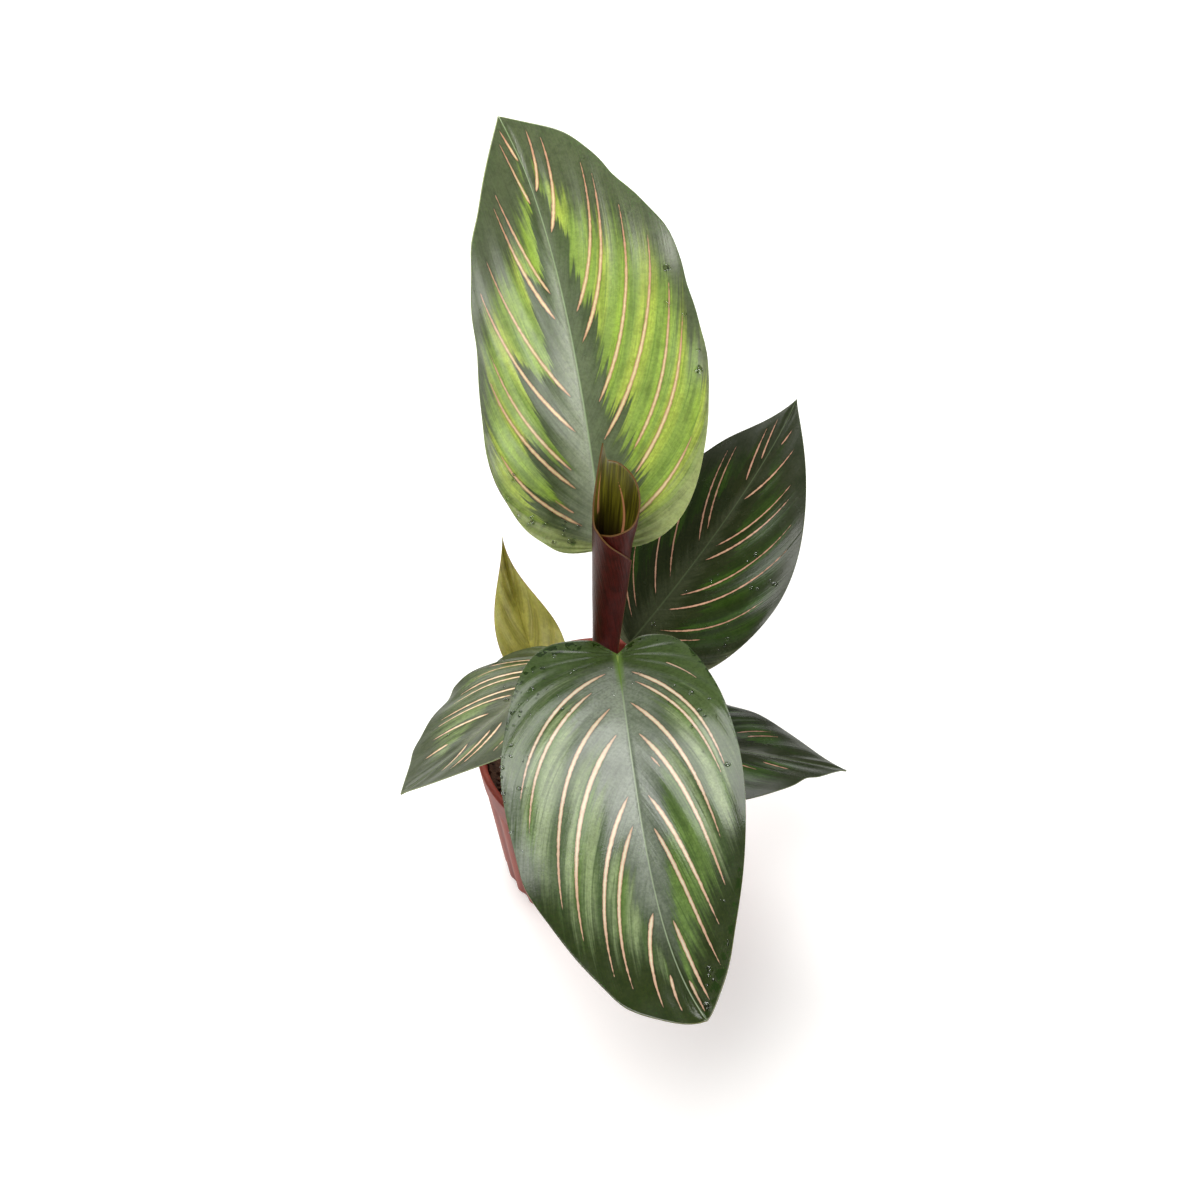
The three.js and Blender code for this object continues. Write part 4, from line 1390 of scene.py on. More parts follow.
@dataclass(frozen=True)
class Pot:
    """The pot: a tapered wall with upright flutes under a plain rim band, and a floor with drain holes.

    base_radius is at the ground. The floor's underside is raised by floor_lift inside a foot ring that is
    foot_width wide, and floor is the height of its upper face. The band stands out by band_step, and the
    drain holes lie on a circle of the radius drain_ring.
    """

    height: float = 68 * MM
    rim_radius: float = 42 * MM
    base_radius: float = 35 * MM
    wall: float = 1.4 * MM
    floor: float = 1.6 * MM
    floor_lift: float = 0.9 * MM
    foot_width: float = 3.2 * MM
    band_height: float = 12 * MM
    band_step: float = 0.7 * MM
    flutes: int = 32
    flute_depth: float = 0.8 * MM
    drain_holes: int = 6
    drain_radius: float = 3 * MM
    drain_ring: float = 23 * MM
    sides: int = 384
    finish: PotFinish = PotFinish()

    def outer(self, height: Array) -> Array:
        """Give the wall's outer radius at a height."""
        return self.base_radius + (self.rim_radius - self.base_radius) * height / self.height

    def inner(self, height: Array) -> Array:
        """Give the wall's inner radius at a height."""
        return self.outer(height) - self.band_step - self.flute_depth / 2 - self.wall

    def profile(self) -> Array:
        """Give the wall's section, up the outside and down the inside: radius, height and flute share."""
        band = self.height - self.band_height
        base = self.outer(0)
        foot = np.array([
            [base - self.foot_width, self.floor_lift, 0],
            [base - 2.6 * MM, 0, 0],
            [base - 1.7 * MM, 0, 0.4],
        ])
        rise = np.concatenate([[0.25, 0.6, 1.0], np.linspace(2, 52, 22), np.linspace(52.4, 55.6, 10)]) * MM
        fade = 1 - ease(rise, band - 4.5 * MM, band - 1.2 * MM)
        step = self.band_step * (1 - ease(rise, band - 3 * MM, band - 0.2 * MM))
        tuck = 0.9 * MM * np.maximum(1 - rise / MM, 0) ** 2
        wall = np.stack([self.outer(rise) - step - tuck, rise, fade], axis=-1)
        tall = np.linspace(56, 67, 8) * MM
        rim = np.stack([self.outer(tall), tall, 0 * tall], axis=-1)
        lip = np.linspace(0, np.pi, 9)[1:]
        middle = (self.outer(self.height) + self.inner(self.height)) / 2
        half = (self.outer(self.height) - self.inner(self.height)) / 2
        crown = self.height - 1 * MM + 1 * MM * np.sin(lip)
        top = np.stack([middle + half * np.cos(lip), crown, 0 * lip], axis=-1)
        low = np.linspace(66, self.floor / MM, 16) * MM
        back = np.stack([self.inner(low), low, 0 * low], axis=-1)
        return np.concatenate([foot, wall, rim, top, back])

    def build(self) -> Piece:
        """Mesh the pot, dress it and put it on the frame."""
        radius, height, fluted = self.profile().T
        turn = full_turn(self.sides)
        beat = np.cos(turn * self.flutes)
        around = radius[:, None] + fluted[:, None] * self.flute_depth / 2 * beat
        skin = circle(turn) * around[..., None]
        skin[..., 2] = height[:, None]
        draft = MeshDraft()
        ids = draft.add_points(skin, ridge=fluted[:, None] * (beat + 1) / 2)
        draft.add_grid(ids, closed=True)
        self.add_floor(draft)
        piece = draft.build("fluted_pot", self.finish.build())
        return settle(piece, Slot.POT, "pot")

    def drains(self) -> list[Array]:
        """Give the drain holes' outlines, as flat loops of points."""
        centres = circle((np.arange(self.drain_holes) + 0.5) / self.drain_holes * 2 * np.pi)
        outline = self.drain_radius * circle(full_turn(24))
        return [self.drain_ring * centre + outline for centre in centres]

    def add_floor(self, draft: MeshDraft) -> None:
        """Add the floor's two faces and the walls of its drain holes."""
        levels = (self.floor_lift, self.floor)
        wide = (self.outer(0) - self.foot_width, self.inner(self.floor))
        for level, radius, flip in zip(levels, wide, (True, False)):
            self.add_floor_face(draft, level, radius, flip)
        for drain in self.drains():
            rows = np.array([drain + [0, 0, level] for level in levels])
            draft.add_grid(draft.add_points(rows, ridge=0.0), flip=True, closed=True)

    def add_floor_face(self, draft: MeshDraft, level: float, radius: float, flip: bool) -> None:
        """Add one round face of the floor, filled between its edge and the drain holes.

        Args:
            draft: The pot's mesh.
            level: The face's height.
            radius: Its radius.
            flip: Face down.
        """
        sheet = bmesh.new()
        for loop in (radius * circle(full_turn(96)), *self.drains()):
            corners = [sheet.verts.new((x, y, level)) for x, y, _ in loop]
            for k, corner in enumerate(corners):
                sheet.edges.new((corner, corners[(k + 1) % len(corners)]))
        bmesh.ops.triangle_fill(sheet, use_beauty=True, edges=sheet.edges[:])
        sheet.verts.index_update()
        ids = draft.add_points(np.array([v.co[:] for v in sheet.verts]), ridge=0.0)
        faces = np.array([[v.index for v in f.verts] for f in sheet.faces])
        up = np.array([f.normal.z > 0 for f in sheet.faces])
        faces[up == flip] = faces[up == flip][:, ::-1]
        draft.add_triangles(ids[faces])
        sheet.free()


class Grains(NamedTuple):
    """A kind of loose grain: how many, its smallest and largest radius in mm, and how it is stretched."""

    count: int
    smallest: float
    largest: float
    stretch: Point


class SoilBit(Enum):
    """What lies loose in the potting mix."""

    CRUMB = Grains(1500, 0.35, 1.3, (1.0, 1.0, 0.8))
    BARK = Grains(90, 1.2, 2.8, (1.7, 0.9, 0.45))
    PERLITE = Grains(46, 0.6, 1.5, (1.1, 1.0, 0.9))
    FIBRE = Grains(150, 0.12, 0.24, (22.0, 1.0, 1.0))


@dataclass(frozen=True)
class GrainFinish:
    """The look of one kind of grain, from its damp colour to its dry one."""

    name: str
    damp: Colour
    dry: Colour
    rough: float

    def build(self) -> Material:
        """Paint the grain."""
        p = Paint(self.name)
        cloud = p.noise(p.place(), 240.0, 5.0, 0.7)
        grain = p.noise(p.place(), 1400.0, 4.0, 0.7)
        colour = p.mix(p.span(p.blend(cloud, 0.8, grain, 0.5), 0.45, 0.85), self.damp, self.dry)
        p.set(Base_Color=colour, Roughness=self.rough, Normal=p.bump(grain, 0.5 * MM))
        return p.material


PEAT = GrainFinish("peat", rgb(50, 32, 22), rgb(92, 64, 44), 0.97)
GRAIN_FINISHES = {
    SoilBit.CRUMB: GrainFinish("peat_crumbs", rgb(40, 25, 17), rgb(98, 68, 46), 0.95),
    SoilBit.BARK: GrainFinish("bark_chips", rgb(66, 38, 24), rgb(134, 90, 58), 0.85),
    SoilBit.PERLITE: GrainFinish("perlite", rgb(190, 184, 172), rgb(240, 238, 230), 0.9),
    SoilBit.FIBRE: GrainFinish("fibres", rgb(88, 60, 38), rgb(160, 122, 84), 0.85),
}


@dataclass(frozen=True)
class PottingMix:
    """The potting mix: a low mound with its crumbs, bark, perlite and fibres.

    level is its height at the wall and mound how much higher it is in the middle. gap keeps it clear of
    the pot. rings and sides count the steps of its surface.
    """

    pot: Pot
    level: float = 57 * MM
    mound: float = 2.2 * MM
    gap: float = 0.35 * MM
    rings: int = 70
    sides: int = 220
    seed: int = 11

    def radius(self, height: float) -> float:
        """Give the mix's radius at a height."""
        return float(self.pot.inner(height)) - self.gap

    def top(self, x: Array, y: Array) -> Array:
        """Give the height of the mix's surface."""
        share = np.clip(np.hypot(x, y) / self.radius(self.level), 0, 1)
        a, b = x / MM, y / MM
        lumps = np.sin(a * 0.55 + 1) * np.cos(b * 0.48) + 0.6 * np.sin(a * 1.1 + b * 0.9)
        fine = np.sin(a * 2.3 + 3 * np.sin(b * 0.7)) * np.sin(b * 2.1 + 2 * np.sin(a * 0.9))
        finer = np.sin(a * 4.9 + 2 * np.sin(b * 1.7)) * np.sin(b * 5.3 + 2 * np.sin(a * 1.3))
        rough = 0.7 * lumps * (1 - share) + 0.35 * fine + 0.2 * finer
        return self.level + self.mound * (1 - share**2) + rough * MM

    def build(self) -> list[Piece]:
        """Mesh the mix and its loose grains, dress them and put them on the frame."""
        ring = circle(full_turn(self.sides))
        surface = ring * np.linspace(0.002, 1, self.rings)[:, None, None] * self.radius(self.level)
        surface[..., 2] = self.top(surface[..., 0], surface[..., 1])
        bottom = self.pot.floor + self.gap
        side = [
            ring * self.radius(height) + [0, 0, height]
            for height in np.linspace(self.level - 2 * MM, bottom, 8)
        ]
        draft = MeshDraft()
        rows = np.concatenate([surface, side, [0 * ring + [0, 0, bottom]]])
        draft.add_grid(draft.add_points(rows), flip=True, closed=True)
        pieces = [settle(draft.build("peat_mix", PEAT.build()), Slot.SOIL, "soil")]
        rng = np.random.default_rng(self.seed)
        for bit, finish in GRAIN_FINISHES.items():
            loose = self.scatter(bit, rng).build(f"soil_{bit.name.lower()}", finish.build())
            pieces.append(settle(loose, Slot.SOIL))
        return pieces

    def scatter(self, bit: SoilBit, rng: np.random.Generator) -> MeshDraft:
        """Scatter one kind of grain over the mix, half sunk in it.

        Args:
            bit: The kind of grain.
            rng: Where the random places and shapes come from.

        Returns:
            The mesh of all the grains.
        """
        count, small, large, stretch = bit.value
        ball, faces = unit_ball(subdivisions=1 if bit is SoilBit.FIBRE else 2)
        draft = MeshDraft()
        for _ in range(count):
            size = small + (large - small) * rng.random() ** 2.2
            knobs = 1 + 0.28 * np.sin(ball @ rng.normal(0, 2.4, 3) + rng.random() * 6)
            yaw, tilt = rng.random() * 2 * np.pi, rng.normal(0, 0.35)
            grain = ball * knobs[:, None] * np.array(stretch) * size * MM
            grain = grain @ rotation(2, 0, tilt) @ rotation(0, 1, yaw)
            reach = (self.radius(self.level) - size * MM * max(stretch)) * math.sqrt(rng.random())
            angle = rng.random() * 2 * np.pi
            x, y = reach * math.cos(angle), reach * math.sin(angle)
            lift = self.top(np.array(x), np.array(y)) + size * MM * 0.2
            ids = draft.add_points(grain + [x, y, float(lift)])
            draft.add_triangles(ids[faces])
        return draft


class Patch(NamedTuple):
    """A patch of drops: its half, its middle vein and reach, how far they spread, and the count."""

    hand: Hand
    vein: float
    reach: float
    vein_spread: float
    reach_spread: float
    count: int


@dataclass(frozen=True)
class Drops:
    """Water drops on one blade, scattered in patches.

    smallest and largest are radii, and the higher the rarity, the fewer of the drops are large. height is
    a share of the radius, and sunk how deep a drop's rim lies under the blade's face.
    """

    blade: LeafBlade
    patches: tuple[Patch, ...]
    smallest: float = 0.3 * MM
    largest: float = 1.0 * MM
    rarity: float = 2.5
    seed: int = 3
    height: float = 0.6
    sunk: float = 0.08 * MM

    def seat(self, vein: Array, reach: Array, hand: Hand) -> tuple[Array, Array]:
        """Find where a drop sits.

        Args:
            vein: Its vein, as an array of one.
            reach: Its place along the vein, as an array of one.
            hand: The half of the blade.

        Returns:
            The middle of its foot and the direction out of the blade's face.
        """
        form = self.blade.form
        leaned, place, out = self.blade.chart(vein, reach, hand)
        normal = form.normal(place, out, hand)[0]
        swell = self.blade.thick / 2 + self.blade.pleat * form.pleat(leaned, reach)[0]
        return form.surface(place, out, hand)[0] + normal * (swell - self.sunk), normal

    def add_drop(
        self, draft: MeshDraft, centre: Array, normal: Array, size: float, rng: np.random.Generator
    ) -> None:
        """Add one drop, a low dome with a wavering outline.

        Args:
            draft: The mesh of this blade's drops.
            centre: The middle of the drop's foot.
            normal: The direction out of the blade's face.
            size: The drop's radius.
            rng: Where its random shape comes from.
        """
        turn, rise = full_turn(16), np.linspace(0, np.pi / 2, 6)[:-1]
        first = unit(np.cross(normal, [0.3, 0.5, 0.8]))
        second = np.cross(normal, first)
        phase, wobble = rng.random() * 6, rng.uniform(0.05, 0.2)
        outline = 1 + wobble * np.sin(2 * turn + phase) + 0.5 * wobble * np.sin(3 * turn + 2 * phase)
        ring = first * np.cos(turn)[:, None] + second * np.sin(turn)[:, None]
        wide = ring * (np.cos(rise)[:, None, None] * outline[:, None])
        high = normal * np.sin(rise)[:, None, None] * self.height
        ids = draft.add_points(centre + (wide + high) * size)
        draft.add_grid(ids, closed=True)
        draft.add_fan(ids[-1], centre + normal * size * self.height)
        draft.add_fan(ids[0], centre - normal * 0.05 * MM, flip=True)

    def build(self, water: Material) -> Piece:
        """Mesh the drops, dress them and put them on the frame."""
        rng = np.random.default_rng(self.seed)
        draft = MeshDraft()
        for hand, vein, reach, vein_spread, reach_spread, count in self.patches:
            for _ in range(count):
                spot = np.clip(np.array([rng.normal(vein, vein_spread)]), 0.05, 0.97)
                along = np.clip(np.array([rng.normal(reach, reach_spread)]), 0.04, 0.96)
                size = self.smallest + (self.largest - self.smallest) * rng.random() ** self.rarity
                self.add_drop(draft, *self.seat(spot, along, hand), size, rng)
        piece = draft.build(f"{self.blade.form.name}_drops", water)
        return settle(piece, self.blade.slot)


def paint_water() -> Material:
    """Paint the clear water of the drops, with a little unevenness in its skin."""
    p = Paint("water")
    ripple = p.noise(p.place(), 700.0, 2.0)
    p.set(Base_Color=(0.97, 1.0, 0.98, 1.0), Transmission_Weight=1.0, IOR=1.33)
    p.set(Roughness=p.times(ripple, 0.05), Normal=p.bump(ripple, 0.05 * MM))
    return p.material


@dataclass(frozen=True)
class Lamp:
    """A soft oblong light: where it hangs, what it points at, its width and height, watts and tint."""

    name: str
    place: Point
    aim: Point
    size: tuple[float, float]
    power: float
    tint: Point

    def hang(self) -> None:
        """Hang the light in the scene."""
        lamp = bpy.data.lights.new(self.name, "AREA")
        lamp.shape, lamp.energy, lamp.color = "RECTANGLE", self.power, self.tint
        lamp.size, lamp.size_y = self.size
        held = bpy.data.objects.new(self.name, lamp)
        held.location = self.place
        direction = Vector(self.aim) - Vector(self.place)
        held.rotation_euler = direction.to_track_quat("-Z", "Y").to_euler()
        bpy.context.scene.collection.objects.link(held)


@dataclass(frozen=True)
class Studio:
    """A pale floor, soft light from above and the camera at the photograph's viewing angle.

    eye is the camera's place, tilt how far it looks up from straight down, in degrees, and lens its focal
    length in mm. sky is the strength of the even light, floor_reach how far the floor goes each way.
    """

    eye: Point = (-0.33 * MM, -395.0 * MM, 647.7 * MM)
    tilt: float = 38.0
    lens: float = 63.0
    sky: float = 0.2
    floor_reach: float = 3.0
    lamps: tuple[Lamp, ...] = (
        Lamp("window", (-0.1, 0.92, 1.1), (0, 0, 0.12), (1.2, 0.9), 18.0, (1.0, 1.0, 0.975)),
        Lamp("front", (-0.35, -0.5, 1.43), (0, 0, 0.12), (0.65, 0.65), 15.5, (1.0, 0.985, 0.95)),
        Lamp("fill", (1.15, -0.56, 0.48), (0, 0.05, 0.2), (0.7, 0.45), 6.5, (1.0, 1.0, 0.97)),
    )

    def light_sky(self) -> None:
        """Fill the scene with an even, faintly warm light."""
        world = bpy.data.worlds.new("studio_sky")
        bpy.context.scene.world = world
        world.use_nodes = True
        colour, strength = world.node_tree.nodes["Background"].inputs[:2]
        colour.default_value = (1.0, 0.99, 0.96, 1.0)
        strength.default_value = self.sky

    def lay_floor(self) -> None:
        """Lay the pale floor just under the pot."""
        draft = MeshDraft()
        reach = np.array([-self.floor_reach, self.floor_reach])
        x, y = np.meshgrid(reach, reach)
        draft.add_grid(draft.add_points(np.stack([x, y, 0 * x - 0.05 * MM], axis=-1)))
        p = Paint("studio_floor")
        cloud = p.noise(p.place(), 3.0, 2.0)
        p.set(Base_Color=p.mix(cloud, (0.92, 0.92, 0.92, 1), (0.95, 0.95, 0.95, 1)), Roughness=0.85)
        p.set(Emission_Color=(1.0, 1.0, 1.0, 1.0), Emission_Strength=0.22)
        draft.build("floor", p.material)

    def set_camera(self) -> None:
        """Set the camera above and in front of the plant."""
        scene = bpy.context.scene
        lens = bpy.data.cameras.new("camera")
        lens.lens, lens.sensor_width, lens.sensor_fit = self.lens, 36.0, "HORIZONTAL"
        lens.clip_start, lens.clip_end = 0.01, 20.0
        camera = bpy.data.objects.new("camera", lens)
        camera.location = self.eye
        camera.rotation_euler = (math.radians(self.tilt), 0.0, 0.0)
        scene.collection.objects.link(camera)
        scene.camera = camera

    def build(self) -> None:
        """Lay the floor, hang the lights and set the camera."""
        bpy.context.scene.view_settings.view_transform = "Standard"
        self.light_sky()
        for lamp in self.lamps:
            lamp.hang()
        self.lay_floor()
        self.set_camera()


WINE, WINE_VEIN = rgb(92, 38, 48), rgb(110, 92, 74)
DARK_WINE, DARK_WINE_VEIN = rgb(70, 26, 36), rgb(90, 66, 56)

# the back blade's right half takes only 0.35 of the silver: a painted difference in sheen between its halves
LIME_FINISH = BladeFinish(
    "back", silver=rgb(148, 158, 130), wedge=rgb(84, 100, 60), near=rgb(170, 200, 80),
    middle=rgb(152, 180, 82), far=rgb(194, 212, 90), deep=rgb(108, 138, 56), margin=rgb(90, 101, 68),
    base=rgb(170, 182, 118), pink=rgb(200, 150, 120), cream=rgb(232, 214, 166), rib=rgb(156, 178, 134),
    rim=rgb(172, 180, 134), under=WINE, under_vein=rgb(120, 110, 70), glow=0.25, gloss=0.32, shine=0.6,
    edge=0.05, silver_sheen_right=0.35,
)
# the front blade's silver is partly its own grey and partly painted sheen; its left half takes 0.65 of it, a
# painted difference in sheen, and it lays painted sheen over the right half's margin
GREEN_FINISH = BladeFinish(
    "front", silver=rgb(128, 136, 122), wedge=rgb(64, 78, 52), near=rgb(98, 124, 60),
    middle=rgb(134, 150, 106), far=rgb(80, 98, 58), deep=rgb(44, 66, 24), margin=rgb(39, 51, 12),
    base=rgb(68, 86, 46), pink=rgb(184, 148, 124), cream=rgb(204, 194, 168), rib=rgb(138, 152, 124),
    rim=rgb(124, 122, 88), under=WINE, under_vein=WINE_VEIN, rib_base=rgb(92, 120, 48), silver_reach=0.5,
    gloss=0.2, shine=0.48, wet=0.95, edge=0.14, silver_sheen_left=0.65, base_vein=0.52, margin_sheen=0.9, grain=0.45,
)
DARK_FINISH = BladeFinish(
    "dark", silver=rgb(60, 66, 44), wedge=rgb(38, 46, 20), near=rgb(52, 80, 22), middle=rgb(36, 50, 16),
    far=rgb(44, 66, 16), deep=rgb(26, 38, 10), margin=rgb(42, 48, 28), base=rgb(112, 118, 88),
    pink=rgb(180, 134, 112), cream=rgb(206, 182, 148), rib=rgb(74, 86, 58), rim=rgb(104, 112, 80),
    under=DARK_WINE, under_vein=DARK_WINE_VEIN, gloss=0.25, contrast=0.8, glow=0.03, shine=0.25,
    silver_reach=0.2,
)
LEFT_FINISH = BladeFinish(
    "left", silver=rgb(98, 104, 76), wedge=rgb(66, 76, 46), near=rgb(116, 136, 76), middle=rgb(96, 108, 68),
    far=rgb(82, 98, 52), deep=rgb(42, 56, 28), margin=rgb(70, 78, 50), base=rgb(86, 98, 64),
    pink=rgb(212, 172, 140), cream=rgb(240, 226, 190), rib=rgb(100, 112, 76), rim=rgb(140, 150, 106),
    under=DARK_WINE, under_vein=DARK_WINE_VEIN, gloss=0.36, edge=0.1, contrast=1.25, grain=0.5,
)
YOUNG_FINISH = BladeFinish(
    "young", silver=rgb(158, 152, 66), wedge=rgb(140, 136, 50), near=rgb(142, 138, 50),
    middle=rgb(118, 114, 38), far=rgb(104, 98, 32), deep=rgb(96, 92, 28), margin=rgb(126, 116, 40),
    base=rgb(182, 176, 88), pink=rgb(186, 170, 90), cream=rgb(190, 180, 100), rib=rgb(136, 132, 50),
    rim=rgb(146, 104, 62), under=rgb(120, 96, 44), under_vein=rgb(140, 130, 60), glow=0.3,
    stripe_share=0.1, gloss=0.36, base_vein=0.96, edge=0.1, contrast=0.4, grain=0.25,
)

BACK = LeafForm(
    "back", base=(0.0005, 0.0235, 0.1385), length=0.138, half_width=0.036, skew=0.06,
    heading=103, swerve=11, hook=14, climb=65.5, tip_climb=38, dive=-4, roll=7, tip_roll=-13.5, fold=11,
    curl=0.08, lobe=0.03, widest=0.46, belly=0.24, shoulder=0.35, taper=0.05, point=0.26,
    wave=0.0011, waves=3.5, wave_phase=0.15, pleats=24,
    scallops=(
        Scallop(Hand.RIGHT, 0.47, 0.035, 0.025), Scallop(Hand.RIGHT, 0.55, 0.02, -0.02),
        Scallop(Hand.RIGHT, 0.62, 0.03, 0.035), Scallop(Hand.RIGHT, 0.715, 0.03, -0.05),
        Scallop(Hand.RIGHT, 0.85, 0.06, 0.14), Scallop(Hand.LEFT, 0.17, 0.05, -0.05),
        Scallop(Hand.LEFT, 0.375, 0.05, 0.045), Scallop(Hand.LEFT, 0.54, 0.03, -0.025),
        Scallop(Hand.LEFT, 0.675, 0.035, 0.055),
    ),
)
RIGHT = LeafForm(
    "right", base=(0.009, 0.0195, 0.093), length=0.1, half_width=0.031, skew=0.02,
    heading=36, swerve=24, hook=6, climb=39, tip_climb=17, dive=1.5, roll=-2, tip_roll=9.5, fold=2,
    curl=-0.1, lobe=0.04, widest=0.38, belly=0.25, shoulder=0.24, taper=0.12, point=0.17,
    wave=0.0008, waves=2.5, wave_phase=0.4, pleats=20,
    scallops=(Scallop(Hand.RIGHT, 0.47, 0.08, 0.035), Scallop(Hand.LEFT, 0.8, 0.08, 0.14)),
)
FRONT = LeafForm(
    "front", base=(0.005, -0.0083, 0.1253), length=0.1335, half_width=0.0355, skew=0.1,
    heading=-86, swerve=4.5, hook=24.5, climb=20, tip_climb=-26, dive=27.5, roll=-2.5, tip_roll=-12,
    fold=11.5, curl=-0.06, lobe=0.217, widest=0.41, belly=0.1, shoulder=0.335, taper=0.01, point=0.305,
    wave=0.0009, waves=3, wave_phase=0.1, pleats=24,
    scallops=(
        Scallop(Hand.RIGHT, 0.63, 0.04, 0.04), Scallop(Hand.RIGHT, 0.83, 0.04, 0.09),
        Scallop(Hand.LEFT, 0.86, 0.07, 0.08), Scallop(Hand.RIGHT, 0.07, 0.05, -0.35),
        Scallop(Hand.LEFT, 0.08, 0.05, -0.2),
    ),
)
LEFT = LeafForm(
    "left", base=(-0.0085, 0.0054, 0.105), length=0.081, half_width=0.0235,
    heading=-126, swerve=-6, hook=-8, climb=21, tip_climb=-8.5, dive=12.5, roll=-15, tip_roll=-33.5, fold=8,
    curl=-0.12, lobe=0.07, widest=0.42, belly=0.27, shoulder=0.28, taper=0.07, point=0.25,
    wave=0.0008, waves=2.5, wave_phase=0.6, pleats=18,
    scallops=(
        Scallop(Hand.RIGHT, 0.37, 0.04, -0.11), Scallop(Hand.RIGHT, 0.48, 0.035, 0.12),
        Scallop(Hand.RIGHT, 0.76, 0.05, 0.09),
    ),
)
LOW = LeafForm(
    "low", base=(0.008, -0.005, 0.074), length=0.075, half_width=0.025,
    heading=-19, swerve=16.5, hook=3.5, climb=19.5, tip_climb=-23, dive=3.5, roll=5.5, tip_roll=29, fold=4,
    curl=-0.12, lobe=0.06, widest=0.43, belly=0.25, shoulder=0.25, taper=0.13, point=0.18,
    wave=0.0007, waves=2.5, wave_phase=0.3, pleats=18,
    scallops=(Scallop(Hand.RIGHT, 0.79, 0.035, -0.15), Scallop(Hand.LEFT, 0.8, 0.1, 0.12)),
)
YOUNG = LeafForm(
    "young", base=(-0.017, 0.009, 0.0745), length=0.063, half_width=0.013,
    heading=131.5, swerve=-21, hook=-9, climb=64, tip_climb=57, dive=0, roll=4, tip_roll=23, fold=37.5,
    curl=0.03, lobe=0.04, widest=0.43, belly=0.25, shoulder=0.24, taper=0.23, point=0.14,
    wave=0.0003, waves=2, wave_phase=0, pleats=16,
)

BACK_MARKS = Markings(
    right=(
        Stripe(0.415, 0.10, 0.16, 0.60), *pair(0.557, 0.05, 0.035, 0.20, 0.80),
        *pair(0.698, 0.053, -0.03, 0.09, 0.89, 1.25), *pair(0.829, 0.027, -0.04, 0.10, 0.90),
        *pair(0.922, 0.03, -0.03, 0.14, 0.93),
    ),
    left=(
        Stripe(0.455, 0.03, 0.09, 0.70), Stripe(0.5, 0.03, 0.13, 0.26, 0.6),
        *pair(0.596, 0.04, -0.04, 0.11, 0.78), *pair(0.724, 0.048, -0.075, 0.09, 0.88),
        *pair(0.85, 0.024, -0.07, 0.20, 0.90), *pair(0.935, 0.035, -0.02, 0.32, 0.93),
    ),
    inner=0.12, outer=0.82, tooth=0.11, rise=0.2, last=0.95, left_tooth=0.34,
)
FRONT_MARKS = Markings(
    right=(
        Stripe(0.512, 0.105, 0.06, 0.77, 1.25), Stripe(0.562, 0.095, 0.14, 0.78),
        Stripe(0.654, 0.07, 0.07, 0.89, 1.3), Stripe(0.72, 0.042, 0.07, 0.90, 1.5),
        *pair(0.818, 0.03, 0.006, 0.08, 0.90, 1.3), Stripe(0.924, -0.025, 0.16, 0.93, 1.2),
        Stripe(0.953, -0.01, 0.47, 0.88, 0.8),
    ),
    left=(
        Stripe(0.3, 0.2, 0.30, 0.54, 0.6), Stripe(0.512, 0.11, 0.06, 0.74, 1.2),
        Stripe(0.562, 0.075, 0.08, 0.72, 1.0), Stripe(0.656, 0.057, 0.04, 0.78, 1.3),
        Stripe(0.722, 0.02, 0.08, 0.88, 1.35), Stripe(0.747, 0.0, 0.17, 0.25, 0.6),
        Stripe(0.814, -0.008, 0.12, 0.88, 1.25), Stripe(0.843, 0.018, 0.15, 0.94),
        Stripe(0.901, 0.046, 0.32, 0.92), Stripe(0.94, 0.055, 0.42, 0.78, 0.8),
    ),
    inner=0.2, outer=0.86, tooth=0.1, rise=0.12, far=0.02, first=0.4, last=0.95, pair_gap=0.07,
)
RIGHT_MARKS = Markings(
    right=(
        Stripe(0.5, 0.04, 0.08, 0.42, 0.4), Stripe(0.545, 0.04, 0.10, 0.78, 0.5),
        *pair(0.64, 0.047, 0.03, 0.06, 0.87, 0.6), *pair(0.775, 0.026, 0.0, 0.10, 0.84, 0.65),
        Stripe(0.88, -0.01, 0.12, 0.87, 0.65), Stripe(0.935, -0.01, 0.5, 0.8, 0.4),
    ),
    left=(
        *pair(0.485, 0.045, 0.06, 0.10, 0.70, 0.5), *pair(0.64, 0.06, 0.04, 0.08, 0.80, 0.6),
        *pair(0.79, 0.02, 0.02, 0.11, 0.86, 0.6), *pair(0.893, 0.03, 0.01, 0.18, 0.86, 0.55),
    ),
    inner=0.2, outer=0.84, first=0.42,
)
LEFT_MARKS = Markings(
    right=(
        *pair(0.48, 0.04, 0.02, 0.2, 0.7, 0.6), *pair(0.6, 0.045, -0.02, 0.12, 0.78, 1.0),
        *pair(0.72, 0.04, -0.03, 0.1, 0.82, 0.95), Stripe(0.82, -0.04, 0.2, 0.8, 0.85),
        Stripe(0.87, -0.01, 0.5, 0.8, 0.7),
    ),
    left=(
        *pair(0.6, 0.04, 0.0, 0.1, 0.75, 0.85), *pair(0.7, 0.04, 0.0, 0.1, 0.82, 0.85),
        *pair(0.81, 0.025, 0.02, 0.25, 0.82, 0.85), Stripe(0.9, 0.0, 0.1, 0.72, 0.7),
    ),
    inner=0.2, outer=0.84, first=0.42,
)
LOW_MARKS = Markings(
    right=(
        *pair(0.56, 0.04, 0.0, 0.1, 0.7, 0.5), *pair(0.68, 0.045, 0.0, 0.1, 0.56, 0.5),
        Stripe(0.775, 0.0, 0.45, 0.65, 0.45), Stripe(0.846, 0.0, 0.39, 0.70, 0.5),
    ),
    left=(
        *pair(0.56, 0.04, 0.0, 0.1, 0.52, 0.5), *pair(0.68, 0.04, 0.0, 0.1, 0.52, 0.5),
        *pair(0.769, 0.026, 0.0, 0.4, 0.75, 0.5),
    ),
    inner=0.2, outer=0.84, first=0.42,
)
